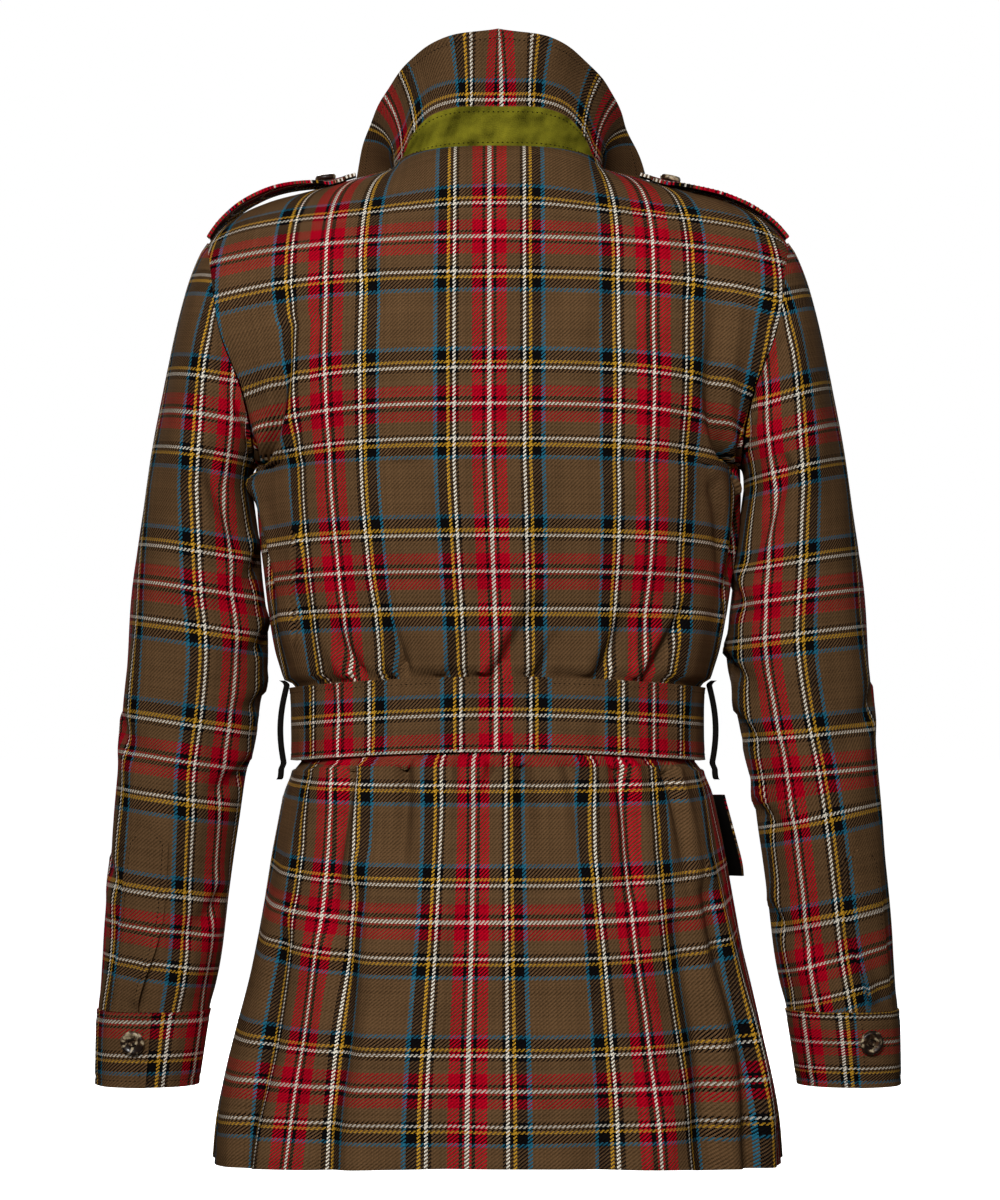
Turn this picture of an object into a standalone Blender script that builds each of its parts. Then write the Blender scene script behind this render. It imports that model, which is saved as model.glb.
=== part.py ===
"""Safari jacket of checked wool, as worn: a hollow form of cut panels, open at neck, cuffs and hem.

The front faces -Y and the back +Y, with +X on the wearer's left. The origin is the middle of the
neck opening. Sizes are in millimetres, and the meshes are made in metres.
"""

import bmesh
import bpy
import numpy as np
from mathutils import Matrix, Vector

MM = 0.001
NUDGE = 1e-3  # step used to find a surface's slope
SIDE_SEAM = 90.0
HAIR = 1e-4  # keeps a panel's edge on its own side of the side seam

# Cloth and seams
CLOTH = 1.5
COLLAR_CLOTH = 2.0
CUFF_CLOTH = 2.2
EPAULETTE_CLOTH = 2.2
BELT_CLOTH = 3.0
SEAM_GAP = 0.3
LAYER_GAP = 0.35

# Body, as rings round the torso
ARMPIT_HEIGHT = -235.0
HEM_HEIGHT = -732.0
LEVEL_STEP = 100.0  # one level below the armpit, in millimetres
RING_SQUARENESS = 2.25
BODY_COLUMNS = ("height", "half_width", "back_depth", "front_depth")
BODY_RINGS = (
    (-235, 174, 120, 121),
    (-255, 173.6, 119.8, 121.2),
    (-300, 169.3, 117.5, 120.5),
    (-340, 164.6, 112, 116),
    (-365, 159.8, 108, 111),
    (-392, 152, 103.5, 105.5),
    (-419, 150.5, 102.5, 105.5),
    (-446, 151.5, 103.5, 105.5),
    (-470, 155, 109, 110),
    (-505, 162, 118, 116),
    (-545, 169, 126, 123),
    (-590, 178, 134, 131),
    (-640, 189, 142, 139),
    (-690, 199, 149, 146),
    (-732, 203, 153, 149),
)

# Belt and how it draws the body in
BELT_HEIGHT = -419.0
BELT_WIDTH = 53.0
BELT_PINCH = 6.5
BELT_LEDGE = 6.0
BELT_RISE = 8.0  # lift of the belt at the centre back
BELT_DROOP_SIDE = 7.0
BELT_DROOP_FRONT = 3.0
BELT_DROOP_REACH = 130.0
BUCKLE_RELIEF = 15.0  # degrees at the front where the pinch eases under the buckle
HEM_LIFT = 9.0
HEM_LIFT_FROM = -560.0

# Neck, shoulder seam and armhole
NECK_HALF_WIDTH = 76.0
NECK_BACK = 58.0
NECK_FRONT = 88.0
NECK_BACK_HEIGHT = -8.0
NECK_SIDE_HEIGHT = -18.0
NECK_FRONT_HEIGHT = -80.0
NECK_SHARE = 0.38  # share of a half panel's top edge that is neckline
SHOULDER_TIP = 209.0
SHOULDER_TIP_HEIGHT = -72.0
SHOULDER_COLUMNS = ("reach", "height")
SHOULDER_SEAM = (
    (76, -18), (100, -24), (117, -29), (140, -35), (168, -43), (187, -52), (201, -63), (209, -72))
ARMHOLE_DEPTH_BACK = 74.0
ARMHOLE_DEPTH_FRONT = 70.0
ARMHOLE_ROUNDNESS = 2.2
ARMHOLE_COLUMNS = ("height", "back_reach", "front_reach")
ARMHOLE = (
    (-235, 174, 174), (-210, 175, 172), (-185, 180, 174), (-142, 196, 185), (-91, 205, 201), (-72, 209, 209))
CORNER_EASE = 2.4
CENTRE_SLOPE = 1.7
SHOULDER_SLOPE = 2.3
DEEPEST_EDGE = 0.98  # the armhole edge stays this share of the chest depth

# Folds pressed into the body: angle from the centre back, height, reach, width, depth
FOLD_COLUMNS = ("angle", "height", "reach", "width", "depth")
BODY_FOLDS = (
    (-34, -352, 60, 9, -4),
    (31, -360, 55, 8, -3),
    (-8, -356, 50, 7, -3),
    (-58, -350, 60, 9, 3),
    (62, -345, 70, 10, 3),
    (-138, -350, 60, 9, -4),
    (142, -352, 60, 9, -4),
    (-47, -640, 150, 10, -6),
    (52, -650, 150, 11, -6),
    (-70, -660, 150, 9, 5),
    (74, -650, 150, 10, 5),
    (-16, -610, 150, 10, 3),
    (22, -620, 150, 11, 3),
    (-128, -640, 150, 11, -6),
    (124, -650, 150, 11, -6),
    (-104, -690, 110, 9, 4),
    (101, -690, 110, 9, 4),
    (89, -610, 150, 16, -3.2),
)

# Panels: rows of the grid above the armpit as shares of the rise, and below it as heights
DROP_ROWS = (
    -260, -288, -318, -345, -369, -386, -392, -419, -446, -452, -470, -505, -545, -590, -635, -685, -732)
NECK_STEPS = 6  # columns of a half panel that end on the neckline
SHOULDER_STEPS = 8
LAP_FULL = 174.0
LAP_START = 165.0

# Sleeves: sections below the armhole, as worn
SLEEVE_COLUMNS = ("height", "centre_x", "half_width", "centre_y", "half_depth")
SLEEVE_SECTIONS = (
    (-250, 214.5, 37.7, 0, 72),
    (-300, 215.2, 44.7, -1, 68),
    (-365, 215.7, 50.5, -3, 62),
    (-408, 221, 49.5, -6, 59),
    (-451, 228, 46.5, -9, 57),
    (-495, 234, 45.0, -13, 54),
    (-538, 239, 44.0, -18, 51),
    (-581, 243.5, 43.0, -24, 48),
    (-625, 250, 40.3, -30, 45),
    (-680, 255.5, 36.8, -37, 41),
)
SLEEVE_START = -250.0
SLEEVE_END = -625.0
SLEEVE_AROUND = 20
SLEEVE_COLUMN_STEP = 360 / SLEEVE_AROUND
CAP_ROWS = (0.0, 0.1, 0.22, 0.36, 0.52, 0.68, 0.84)
SLEEVE_ROWS = (-250, -290, -330, -368, -410, -455, -500, -540, -582, -625)
CAP_OUT = (8.0, 62.0)  # push out of the armhole at the underarm, and how much more at the top
CAP_FALL = 120.0
CAP_LAND = (15.0, 175.0)
CAP_SPREAD = 30.0
SEAM_TUCK = 0.022  # share by which the sleeve head's inner edge is smaller

# Cuffs and gauntlet plackets: angles round the sleeve from its outer edge towards the back
CUFF_END = -680.0
CUFF_PROUD = 1.2
CUFF_LAP = 30.0
CUFF_AROUND = 26
# each side: its sign on X, and the angles of the cuff's lapped edge, its button and the placket
SLEEVE_SIDES = {"left": (1, 93.0, 77.5, 69.0), "right": (-1, 84.0, 69.5, 58.0)}
CUFF_BUTTON_HEIGHT = -646.0
PLACKET_COLUMNS = ("height", "half_width")
PLACKET = ((-496, 2.5), (-501, 9.5), (-507, 16.5), (-530, 17), (-560, 17), (-592, 17), (-624.6, 17))
PLACKET_ACROSS = 5

# Collar: the fall's free edge for one half, by turn round the neck from the centre back
COLLAR_COLUMNS = ("turn", "edge_x", "edge_y", "edge_z", "stand")
COLLAR = (
    (0, 0, 68, 72, 25),
    (25, 41, 59, 66, 25),
    (41, 61, 36, 56, 23),
    (52, 71, 20, 48, 15),
    (60, 78, 8, 41, 7),
    (67, 83, -2, 34, 1),
    (75, 88, -14, 25, 0),
    (90, 96, -34, 8, 0),
    (105, 103, -54, -12, 0),
    (120, 105, -76, -36, 0),
    (135, 99, -95, -62, 0),
    (150, 87, -108, -86, 0),
    (165, 69, -118, -106, 0),
    (177, 53, -124, -121, 0),
)
COLLAR_RISE = 0.42
COLLAR_TURNS = (0, 15, 30, 45, 60, 75, 90, 105, 120, 135, 150, 165, 177)
FALL_ROWS = 5
STAND_TURNS = (0, 15, 30, 45, 55, 62)
STAND_LEAN = 2.0
STAND_SEAT = 0.8
COLLAR_INSET = 1.2
RIGHT_WING_OUT = 5.0
RIGHT_WING_TURNS = (80.0, 115.0)

# Epaulettes, pockets and loops
EPAULETTE_INNER = 112.0
EPAULETTE_OUTER = 206.5
EPAULETTE_HALF_WIDTH = 24.0
EPAULETTE_TAPER = 0.78
EPAULETTE_TIP = 9.0
EPAULETTE_TIP_SHARE = 0.35
EPAULETTE_REACHES = (
    EPAULETTE_INNER - EPAULETTE_TIP, EPAULETTE_INNER, 124, 133, 143, 154, 166, 178, 189, 198, EPAULETTE_OUTER)
EPAULETTE_ACROSS = 7
SHOULDER_WALK = np.linspace(1, 0.7, 200)  # levels walked down from the shoulder seam
EPAULETTE_GAP = 1.0
EPAULETTE_LIFTS = {"left": 7.5, "right": 3.0}
EPAULETTE_LEAN = 0.85  # below 1 the strap stands highest nearer its button
EPAULETTE_CREST = 0.45  # share of the lift over the shoulder seam, the edges standing higher
EPAULETTE_BUTTON = 124.0
POCKET_COLUMNS = ("height", "spread")
POCKET = ((-488, 1.0), (-505, 1.0), (-545, 1.0), (-590, 1.0), (-622, 1.0), (-635, 0.98), (-641, 0.9))
POCKET_FROM = 5  # the pocket lies between these two columns of the front
POCKET_TO = 13
POCKET_GAP = 0.8
FLAP = ((-472, 1.015), (-488, 1.015), (-505, 1.015), (-524, 1.015), (-531, 0.95))
FLAP_LIFTS = {"left": 1.0, "right": 9.0}
FLAP_TOP_LIFT = 0.6  # share of the lift that its rear upper corner has
LOOP_ANGLE = 86.0
LOOP_RADIUS = 2.9
LOOP_COLUMNS = ("height", "out")
LOOP_PATH = (
    (-387, 3.5),
    (-390, 6.2),
    (-394, 9.0),
    (-403, 10.6),
    (-419, 11.4),
    (-438, 10.6),
    (-449, 9.4),
    (-455, 6.4),
    (-459, 4.1),
)

# Buttons and buckle
BUTTON_RADIUS = 9.0
BUTTON_THICKNESS = 3.4
SMALL_BUTTON_RADIUS = 7.5
BUTTON_SIDES = 20
FRONT_BUTTON_HEIGHTS = (-112, -200, -288, -512, -604)
BELT_START = 177.6
BELT_TAIL = 40.0
BELT_LAYER_GAP = 0.65
BELT_CLIMB = (-174.0, -158.0)  # degrees over which the strip climbs over its own start
BUCKLE_HALF_LENGTH = 23.0
BUCKLE_BAR = 4.0
BUCKLE_RAIL = 4.5
BUCKLE_DEPTH = 3.0
BUCKLE_JOIN = 3.6
BUCKLE_RAIL_GAP = 1.7
BUCKLE_MIDDLE_GAP = 0.9
BUCKLE_MIDDLE_DEPTH = 2.2

# Finishes: base colour, roughness, metallic
CHECKED_WOOL = ((0.16, 0.095, 0.045, 1.0), 0.9, 0.0)
GREEN_CLOTH = ((0.17, 0.15, 0.02, 1.0), 0.9, 0.0)
DARK_CLOTH = ((0.012, 0.01, 0.009, 1.0), 0.85, 0.0)
HORN = ((0.05, 0.028, 0.016, 1.0), 0.35, 0.0)


def column(rows, names, name, at):
    """A table's column read smoothly at values of its first column."""
    table = np.array(rows, float)
    places = table[:, 0]
    values = table[:, names.index(name)]
    if places[0] > places[-1]:
        places, values = places[::-1], values[::-1]
    slopes = np.gradient(values, places)
    at = np.clip(np.asarray(at, float), places[0], places[-1])
    right = np.clip(np.searchsorted(places, at), 1, len(places) - 1)
    left = right - 1
    gap = places[right] - places[left]
    t = (at - places[left]) / gap
    start = values[left] * (1 + 2 * t) * (1 - t) ** 2 + slopes[left] * gap * t * (1 - t) ** 2
    end = values[right] * (3 - 2 * t) * t**2 - slopes[right] * gap * (1 - t) * t**2
    return start + end


def ease(value, low, high):
    """0 below low, 1 above high, smooth between."""
    t = np.clip((value - low) / (high - low), 0, 1)
    return t * t * (3 - 2 * t)


def round_off(share, roundness):
    """Falls from 1 to 0 as share goes from 0 to 1, along a rounded corner."""
    return (1 - np.clip(np.abs(share), 0, 1) ** roundness) ** (1 / roundness)


def neckline(turn):
    """Point of the neck seam, by turn in degrees from the centre back."""
    turn = np.asarray(turn, float)
    away = np.cos(np.radians(turn))
    back = away >= 0
    depth = np.where(back, NECK_BACK, NECK_FRONT)
    drop = np.where(back, (1 - np.abs(away)) ** 1.5 * (NECK_SIDE_HEIGHT - NECK_BACK_HEIGHT) + NECK_BACK_HEIGHT,
                    NECK_SIDE_HEIGHT + (NECK_FRONT_HEIGHT - NECK_SIDE_HEIGHT) * np.abs(away) ** 1.25)
    return np.stack([NECK_HALF_WIDTH * np.sin(np.radians(turn)), depth * away, drop], -1)


def top_edge(share, front):
    """Top of a half panel: neckline up to NECK_SHARE, then the shoulder seam."""
    neck_turn = 90 * np.clip(share / NECK_SHARE, -1, 1)
    neck = neckline(np.where(front, 180 - neck_turn, neck_turn))
    along = np.clip((share - NECK_SHARE) / (1 - NECK_SHARE), 0, 1)
    reach = NECK_HALF_WIDTH + (SHOULDER_TIP - NECK_HALF_WIDTH) * along
    height = column(SHOULDER_SEAM, SHOULDER_COLUMNS, "height", reach)
    seam = np.stack([reach, np.zeros_like(reach), height], -1)
    return np.where((share > NECK_SHARE)[..., None], seam, neck)


def eased_top(share, rise, front):
    """The top edge's plan as felt lower down the panel, where the corner at the neck is smoothed away."""
    reach = CORNER_EASE * np.sqrt(1 - rise) * np.abs(share) * (1 - np.abs(share))
    steps = ((-1, 1), (-0.5, 2), (0, 3), (0.5, 2), (1, 1))
    smooth = sum(weight * top_edge(share + step * reach, front) for step, weight in steps) / 9
    smooth[..., 2] = top_edge(share, front)[..., 2]
    return smooth


def armhole(rise, front):
    """Reach, depth and height of the armhole's edge at a share of its rise."""
    height = ARMPIT_HEIGHT + (SHOULDER_TIP_HEIGHT - ARMPIT_HEIGHT) * rise
    reach = np.where(front, column(ARMHOLE, ARMHOLE_COLUMNS, "front_reach", height),
                     column(ARMHOLE, ARMHOLE_COLUMNS, "back_reach", height))
    depth = np.where(front, ARMHOLE_DEPTH_FRONT, ARMHOLE_DEPTH_BACK) * round_off(2 * rise - 1, ARMHOLE_ROUNDNESS)
    return reach, depth, height


def fold_depth(angle, height):
    """Sum of the pressed folds at a place on the body."""
    total = np.zeros_like(angle + height)
    for row in BODY_FOLDS:
        fold = dict(zip(FOLD_COLUMNS, row))
        turn = (angle - fold["angle"] + 180) % 360 - 180
        fade = 1 - ease(np.abs(height - fold["height"]), 0, fold["reach"])
        total += fold["depth"] * np.exp(-((turn / fold["width"]) ** 2)) * fade
    return total


def pinch(angle, height):
    """How far the belt draws the body in, easing off under the buckle."""
    inside = 1 - ease(np.abs(height - BELT_HEIGHT), BELT_WIDTH / 2 + 0.5, BELT_WIDTH / 2 + 0.5 + BELT_LEDGE)
    front_turn = np.abs((angle % 360) - 180)
    return BELT_PINCH * inside * ease(front_turn, BUCKLE_RELIEF, 2.5 * BUCKLE_RELIEF)


def droop(angle, height):
    """Lifts the belt at the centre back, lets it down at the sides and front, and lifts the hem at the back."""
    turn = np.radians(angle)
    near_belt = 1 - ease(np.abs(height - BELT_HEIGHT), BELT_WIDTH / 2 + 4, BELT_DROOP_REACH)
    ahead = np.clip(-np.cos(turn), 0, 1)
    lowered = BELT_DROOP_SIDE * np.sin(turn) ** 2 + (BELT_DROOP_SIDE + BELT_DROOP_FRONT) * ahead**2
    near_hem = 1 - ease(height, HEM_HEIGHT, HEM_LIFT_FROM)
    return HEM_LIFT * np.clip(np.cos(turn), 0, 1) ** 2 * near_hem + (BELT_RISE - lowered) * near_belt


def chest_row(share, rise, front):
    """Reach and depth along one row of the chest, an arc of an oval that ends at the armhole."""
    rise = np.minimum(rise, 1 - HAIR)
    reach, edge_depth, _ = armhole(rise, front)
    chest = np.where(front, BODY_RINGS[0][3], BODY_RINGS[0][2])
    edge_row = np.minimum(edge_depth / round_off(rise, SHOULDER_SLOPE), DEEPEST_EDGE * chest)
    last = np.arccos(edge_row / chest)
    spread = np.sin(np.clip(share, -1, 1) * last) / np.sin(last)
    oval = round_off(edge_row / chest, RING_SQUARENESS)
    return reach * spread, chest * round_off(spread * oval, RING_SQUARENESS)


def torso(angle, level, folds=1.0):
    """Outer face of the body. Angle runs from the centre back, + to the wearer's left.

    Level is the share of the rise above the armpit, or hundreds of millimetres below it.
    """
    angle, level = np.broadcast_arrays(np.asarray(angle, float), np.asarray(level, float))
    side = np.where(angle < 0, -1.0, 1.0)
    turn = np.abs(angle)
    front = turn > 90
    share = np.where(front, (180 - turn) / 90, turn / 90)
    facing = np.where(front, -1.0, 1.0)

    row = ARMPIT_HEIGHT + LEVEL_STEP * np.minimum(level, 0)
    drawn = pinch(angle, row)
    width = column(BODY_RINGS, BODY_COLUMNS, "half_width", row) - drawn
    depth = np.where(front, column(BODY_RINGS, BODY_COLUMNS, "front_depth", row),
                     column(BODY_RINGS, BODY_COLUMNS, "back_depth", row)) - drawn
    across = np.sin(np.radians(90 * share))
    low = np.stack([width * across, depth * round_off(across, RING_SQUARENESS), row + droop(angle, row)], -1)

    rise = np.clip(level, 0, 1)
    slope = CENTRE_SLOPE + (SHOULDER_SLOPE - CENTRE_SLOPE) * np.clip(np.abs(share), 0, 1)
    fall = round_off(rise, slope)
    reach, row_depth = chest_row(share, rise, front)
    top_reach, _ = chest_row(share, np.ones_like(rise), front)
    top = eased_top(share, rise, front)
    high = np.stack([
        reach + rise**3 * (top[..., 0] - top_reach),
        np.abs(top[..., 1]) * (1 - fall) + row_depth * fall,
        ARMPIT_HEIGHT + (top[..., 2] - ARMPIT_HEIGHT) * rise,
    ], -1)

    point = np.where((level > 0)[..., None], high, low)
    pressed = folds * fold_depth(angle, point[..., 2]) * (1 - pinch(angle, row) / BELT_PINCH)
    pressed = np.where(level > 0, 0, pressed)
    swell = 1 + pressed / np.maximum(np.hypot(point[..., 0], point[..., 1]), 1)
    point = point * np.stack([swell, swell, np.ones_like(swell)], -1)
    return point * np.stack([side, facing, np.ones_like(side)], -1)


def level_of(height):
    """The level of a height below the armpit."""
    return (np.asarray(height, float) - ARMPIT_HEIGHT) / LEVEL_STEP


def torso_normal(angle, level, folds=1.0):
    """Outward normal of the body, found without crossing the armhole or the top edge."""
    angle, level = np.broadcast_arrays(np.asarray(angle, float), np.asarray(level, float))
    high = level > 0
    turn = np.abs(angle)
    ahead = np.where(high & (turn <= 90) & (turn > 89), 0, NUDGE) * 60
    behind = np.where(high & (turn >= 90) & (turn < 91), 0, NUDGE) * 60
    flip = np.where(angle < 0, -1.0, 1.0)
    more = np.where(flip > 0, ahead, behind)
    less = np.where(flip > 0, behind, ahead)
    across = torso(angle + more, level, folds) - torso(angle - less, level, folds)
    up = torso(angle, np.minimum(level + NUDGE, 1), folds) - torso(angle, level - NUDGE, folds)
    normal = np.cross(up, across)
    return normal / np.linalg.norm(normal, axis=-1, keepdims=True)


def sleeve(alpha, drop):
    """Outer face of the left sleeve. Alpha runs from its outer edge towards the back.

    Drop is a share of the way down the sleeve head from 0 to 1, or a height once it is below.
    """
    alpha, drop = np.broadcast_arrays(np.asarray(alpha, float), np.asarray(drop, float))
    turn = np.radians(alpha)
    front = np.sin(turn) < 0
    rise = (1 + np.cos(turn)) / 2
    reach, depth, height = armhole(rise, front)
    seam = np.stack([reach + SEAM_GAP, np.where(front, -depth, depth), height], -1)

    row = np.where(drop < 0, np.minimum(drop, SLEEVE_START), SLEEVE_START)
    parts = {name: column(SLEEVE_SECTIONS, SLEEVE_COLUMNS, name, row) for name in SLEEVE_COLUMNS[1:]}
    section = np.stack([
        parts["centre_x"] + parts["half_width"] * np.cos(turn),
        parts["centre_y"] + parts["half_depth"] * np.sin(turn),
        row,
    ], -1)
    nothing = np.zeros_like(rise)
    leave = np.stack([CAP_OUT[0] + CAP_OUT[1] * rise, nothing, -CAP_FALL * rise**1.2], -1)
    arrive = np.stack([CAP_SPREAD * rise, nothing, -CAP_LAND[0] - CAP_LAND[1] * rise], -1)
    t = np.clip(drop, 0, 1)[..., None]
    cap = (seam * (1 + 2 * t) * (1 - t) ** 2 + leave * t * (1 - t) ** 2
           + section * (3 - 2 * t) * t**2 - arrive * (1 - t) * t**2)
    return np.where((drop < 0)[..., None], section, cap)


def sleeve_normal(alpha, drop):
    """Outward normal of the left sleeve."""
    alpha, drop = np.broadcast_arrays(np.asarray(alpha, float), np.asarray(drop, float))
    below = drop < 0
    lower = np.where(below, drop - 0.5, np.minimum(drop + NUDGE, 1))
    upper = np.where(below, np.minimum(drop + 0.5, SLEEVE_START), np.maximum(drop - NUDGE, 0))
    around = sleeve(alpha + NUDGE * 60, drop) - sleeve(alpha - NUDGE * 60, drop)
    normal = np.cross(sleeve(alpha, lower) - sleeve(alpha, upper), around)
    return normal / np.linalg.norm(normal, axis=-1, keepdims=True)


def grid(first, second):
    """Two lists as a grid of rows (second) and columns (first)."""
    return np.meshgrid(np.asarray(first, float), np.asarray(second, float))


def both_ways(turns):
    """A list of turns for one half, as a list for the whole."""
    return np.concatenate([-np.asarray(turns[:0:-1], float), turns])


def draw_in(points, amount, closed):
    """Moves the border of a grid of points inwards by an amount, leaving a seam's gap."""
    points = points.copy()
    borders = [(0, 1), (-1, -2)]
    for edge, inside in borders:
        step = points[inside] - points[edge]
        points[edge] += step / np.linalg.norm(step, axis=-1, keepdims=True) * amount
    if not closed:
        for edge, inside in borders:
            step = points[:, inside] - points[:, edge]
            points[:, edge] += step / np.linalg.norm(step, axis=-1, keepdims=True) * amount
    return points


def finish(name, mesh, finish_values):
    """Makes a named object of a mesh, with its own material, in the jacket's collection."""
    colour, roughness, metallic = finish_values
    material = bpy.data.materials.new(name)
    material.use_nodes = True
    shader = material.node_tree.nodes["Principled BSDF"]
    shader.inputs["Base Color"].default_value = colour
    shader.inputs["Roughness"].default_value = roughness
    shader.inputs["Metallic"].default_value = metallic
    mesh.materials.append(material)
    mesh.shade_smooth()
    mesh.set_sharp_from_angle(angle=np.radians(40))
    piece = bpy.data.objects.new(name, mesh)
    jacket.objects.link(piece)
    return piece


def cloth_wall(name, outer, inner, finish_values, closed=False):
    """A closed wall between two grids of points. Closed grids wrap round in their columns."""
    rows, columns = outer.shape[:2]
    form = bmesh.new()
    layers = [[[form.verts.new(point * MM) for point in row] for row in face] for face in (outer, inner)]
    last = columns if closed else columns - 1
    for i in range(rows - 1):
        for j in range(last):
            k = (j + 1) % columns
            for face in layers:
                form.faces.new((face[i][j], face[i][k], face[i + 1][k], face[i + 1][j]))
    for i in (0, rows - 1):
        for j in range(last):
            k = (j + 1) % columns
            form.faces.new((layers[0][i][j], layers[0][i][k], layers[1][i][k], layers[1][i][j]))
    if not closed:
        for j in (0, columns - 1):
            for i in range(rows - 1):
                form.faces.new((layers[0][i][j], layers[0][i + 1][j], layers[1][i + 1][j], layers[1][i][j]))
    bmesh.ops.recalc_face_normals(form, faces=form.faces)
    mesh = bpy.data.meshes.new(name)
    form.to_mesh(mesh)
    form.free()
    return finish(name, mesh, finish_values)


def half_columns():
    """Columns of a half panel in degrees from its centre, closer together along the neckline."""
    neck_end = SIDE_SEAM * NECK_SHARE
    neck = np.linspace(0, neck_end, NECK_STEPS + 1)
    return np.concatenate([neck, np.linspace(neck_end, SIDE_SEAM, SHOULDER_STEPS + 1)[1:]])


def body_panel(name, angles, lap=0.0):
    """Back or front panel from the top edge to the hem. Lap sinks its edge under the other front."""
    rises = (1 + np.cos(np.radians(np.arange(0, 181, SLEEVE_COLUMN_STEP)))) / 2
    levels = np.concatenate([rises, level_of(DROP_ROWS)])
    angle, level = grid(angles, levels)
    normal = torso_normal(angle, level)
    sunk = lap * ease(np.abs(angle), LAP_START, LAP_FULL)[..., None]
    outer = torso(angle, level) - normal * sunk
    inner = outer - normal * CLOTH
    cloth_wall(name, draw_in(outer, SEAM_GAP / 2, False), draw_in(inner, SEAM_GAP, False), CHECKED_WOOL)


def make_body():
    """The back and the two fronts, the right one lapped over the left."""
    half = half_columns()
    half[-1] -= HAIR
    body_panel("back", both_ways(half))
    over = 180 - np.append(half[::-1], -half[1])
    body_panel("front_left", over, lap=CLOTH + LAYER_GAP)
    body_panel("front_right", -over[::-1])


def mirrored(points, side):
    return points * np.array([side, 1, 1])


def make_sleeve(side_name):
    """A set-in sleeve from the armhole to the cuff seam."""
    side = SLEEVE_SIDES[side_name][0]
    alphas = np.arange(0, 360, SLEEVE_COLUMN_STEP)
    alpha, drop = grid(alphas, np.concatenate([CAP_ROWS, SLEEVE_ROWS]))
    outer = sleeve(alpha, drop)
    inner = outer - sleeve_normal(alpha, drop) * CLOTH
    inner[0] = outer[0] + (outer[0].mean(axis=0) - outer[0]) * np.array([0, 1, 1]) * SEAM_TUCK
    inner[-1, :, 2] = outer[-1, :, 2]
    cloth_wall("sleeve_" + side_name, mirrored(outer, side), mirrored(inner, side), CHECKED_WOOL, closed=True)


def make_cuff(side_name):
    """A cuff as one strip round the wrist, its buttoned end lapped over the other."""
    side, lap_angle = SLEEVE_SIDES[side_name][:2]
    alphas = np.linspace(lap_angle, lap_angle - 360 - CUFF_LAP, CUFF_AROUND + 1)
    alpha, drop = grid(alphas, (SLEEVE_END - SEAM_GAP, (SLEEVE_END + CUFF_END) / 2, CUFF_END))
    raised = (CUFF_CLOTH + LAYER_GAP) * ease(alpha, lap_angle - 2.4 * CUFF_LAP, lap_angle - 1.3 * CUFF_LAP)
    normal = sleeve_normal(alpha, drop)
    normal[..., 2] = 0
    outer = sleeve(alpha, drop) + normal * (CUFF_PROUD + raised[..., None])
    inner = outer - normal * CUFF_CLOTH
    cloth_wall("cuff_" + side_name, mirrored(outer, side), mirrored(inner, side), CHECKED_WOOL)


def cuff_seat(side_name):
    """Where a cuff's button sits, and the way it faces."""
    side, _, button_angle = SLEEVE_SIDES[side_name][:3]
    normal = sleeve_normal(button_angle, CUFF_BUTTON_HEIGHT)
    point = sleeve(button_angle, CUFF_BUTTON_HEIGHT) + normal * (CUFF_PROUD + CUFF_CLOTH + LAYER_GAP)
    return mirrored(point, side), mirrored(normal, side)


def make_placket(side_name):
    """The pointed gauntlet placket, sewn on the sleeve above the cuff."""
    side, _, _, centre = SLEEVE_SIDES[side_name]
    heights = np.array([row[0] for row in PLACKET], float)
    share, drop = grid(np.linspace(-1, 1, PLACKET_ACROSS), heights)
    half_width = column(PLACKET, PLACKET_COLUMNS, "half_width", drop)
    depth = column(SLEEVE_SECTIONS, SLEEVE_COLUMNS, "half_depth", drop)
    alpha = centre + np.degrees(share * half_width / depth)
    normal = sleeve_normal(alpha, drop)
    inner = sleeve(alpha, drop) + normal * POCKET_GAP
    outer = inner + normal * CLOTH
    cloth_wall("placket_" + side_name, mirrored(outer, side), mirrored(inner, side), CHECKED_WOOL)


def collar_base(turn):
    """The neck seam as the collar meets it, a little inside and above the panels' edges."""
    point = neckline(turn)
    inward = -point * np.array([1, 1, 0])
    inward /= np.linalg.norm(inward, axis=-1, keepdims=True)
    return point + inward * COLLAR_INSET + np.array([0, 0, STAND_SEAT])


def collar_seam(turn):
    """Where the collar's fall is sewn on: along the stand at the back, along the neckline beyond."""
    stand = np.maximum(column(COLLAR, COLLAR_COLUMNS, "stand", np.abs(turn)), 0)
    lean = STAND_LEAN * stand / COLLAR[0][4] * np.cos(np.radians(turn))
    return collar_base(turn) + np.stack([np.zeros_like(lean), lean, stand + STAND_SEAT], -1)


def fall(turn, way):
    """The collar's fall, from its seam (way 0) to its free edge (way 1)."""
    seam = collar_seam(turn)
    side = np.where(turn < 0, -1.0, 1.0)
    edge = np.stack([column(COLLAR, COLLAR_COLUMNS, name, np.abs(turn)) for name in COLLAR_COLUMNS[1:4]], -1)
    edge[..., 0] += RIGHT_WING_OUT * (side < 0) * ease(np.abs(turn), *RIGHT_WING_TURNS)
    edge = edge * np.stack([side, np.ones_like(side), np.ones_like(side)], -1)
    rise = COLLAR_RISE * np.linalg.norm(edge - seam, axis=-1)
    knee = seam + np.stack([np.zeros_like(rise), np.zeros_like(rise), rise], -1)
    t = way[..., None]
    return seam * (1 - t) ** 2 + knee * 2 * t * (1 - t) + edge * t**2


def grid_normal(points):
    """Normals of a grid of points, from its own neighbours."""
    normal = np.cross(np.gradient(points, axis=1), np.gradient(points, axis=0))
    return normal / np.linalg.norm(normal, axis=-1, keepdims=True)


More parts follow.
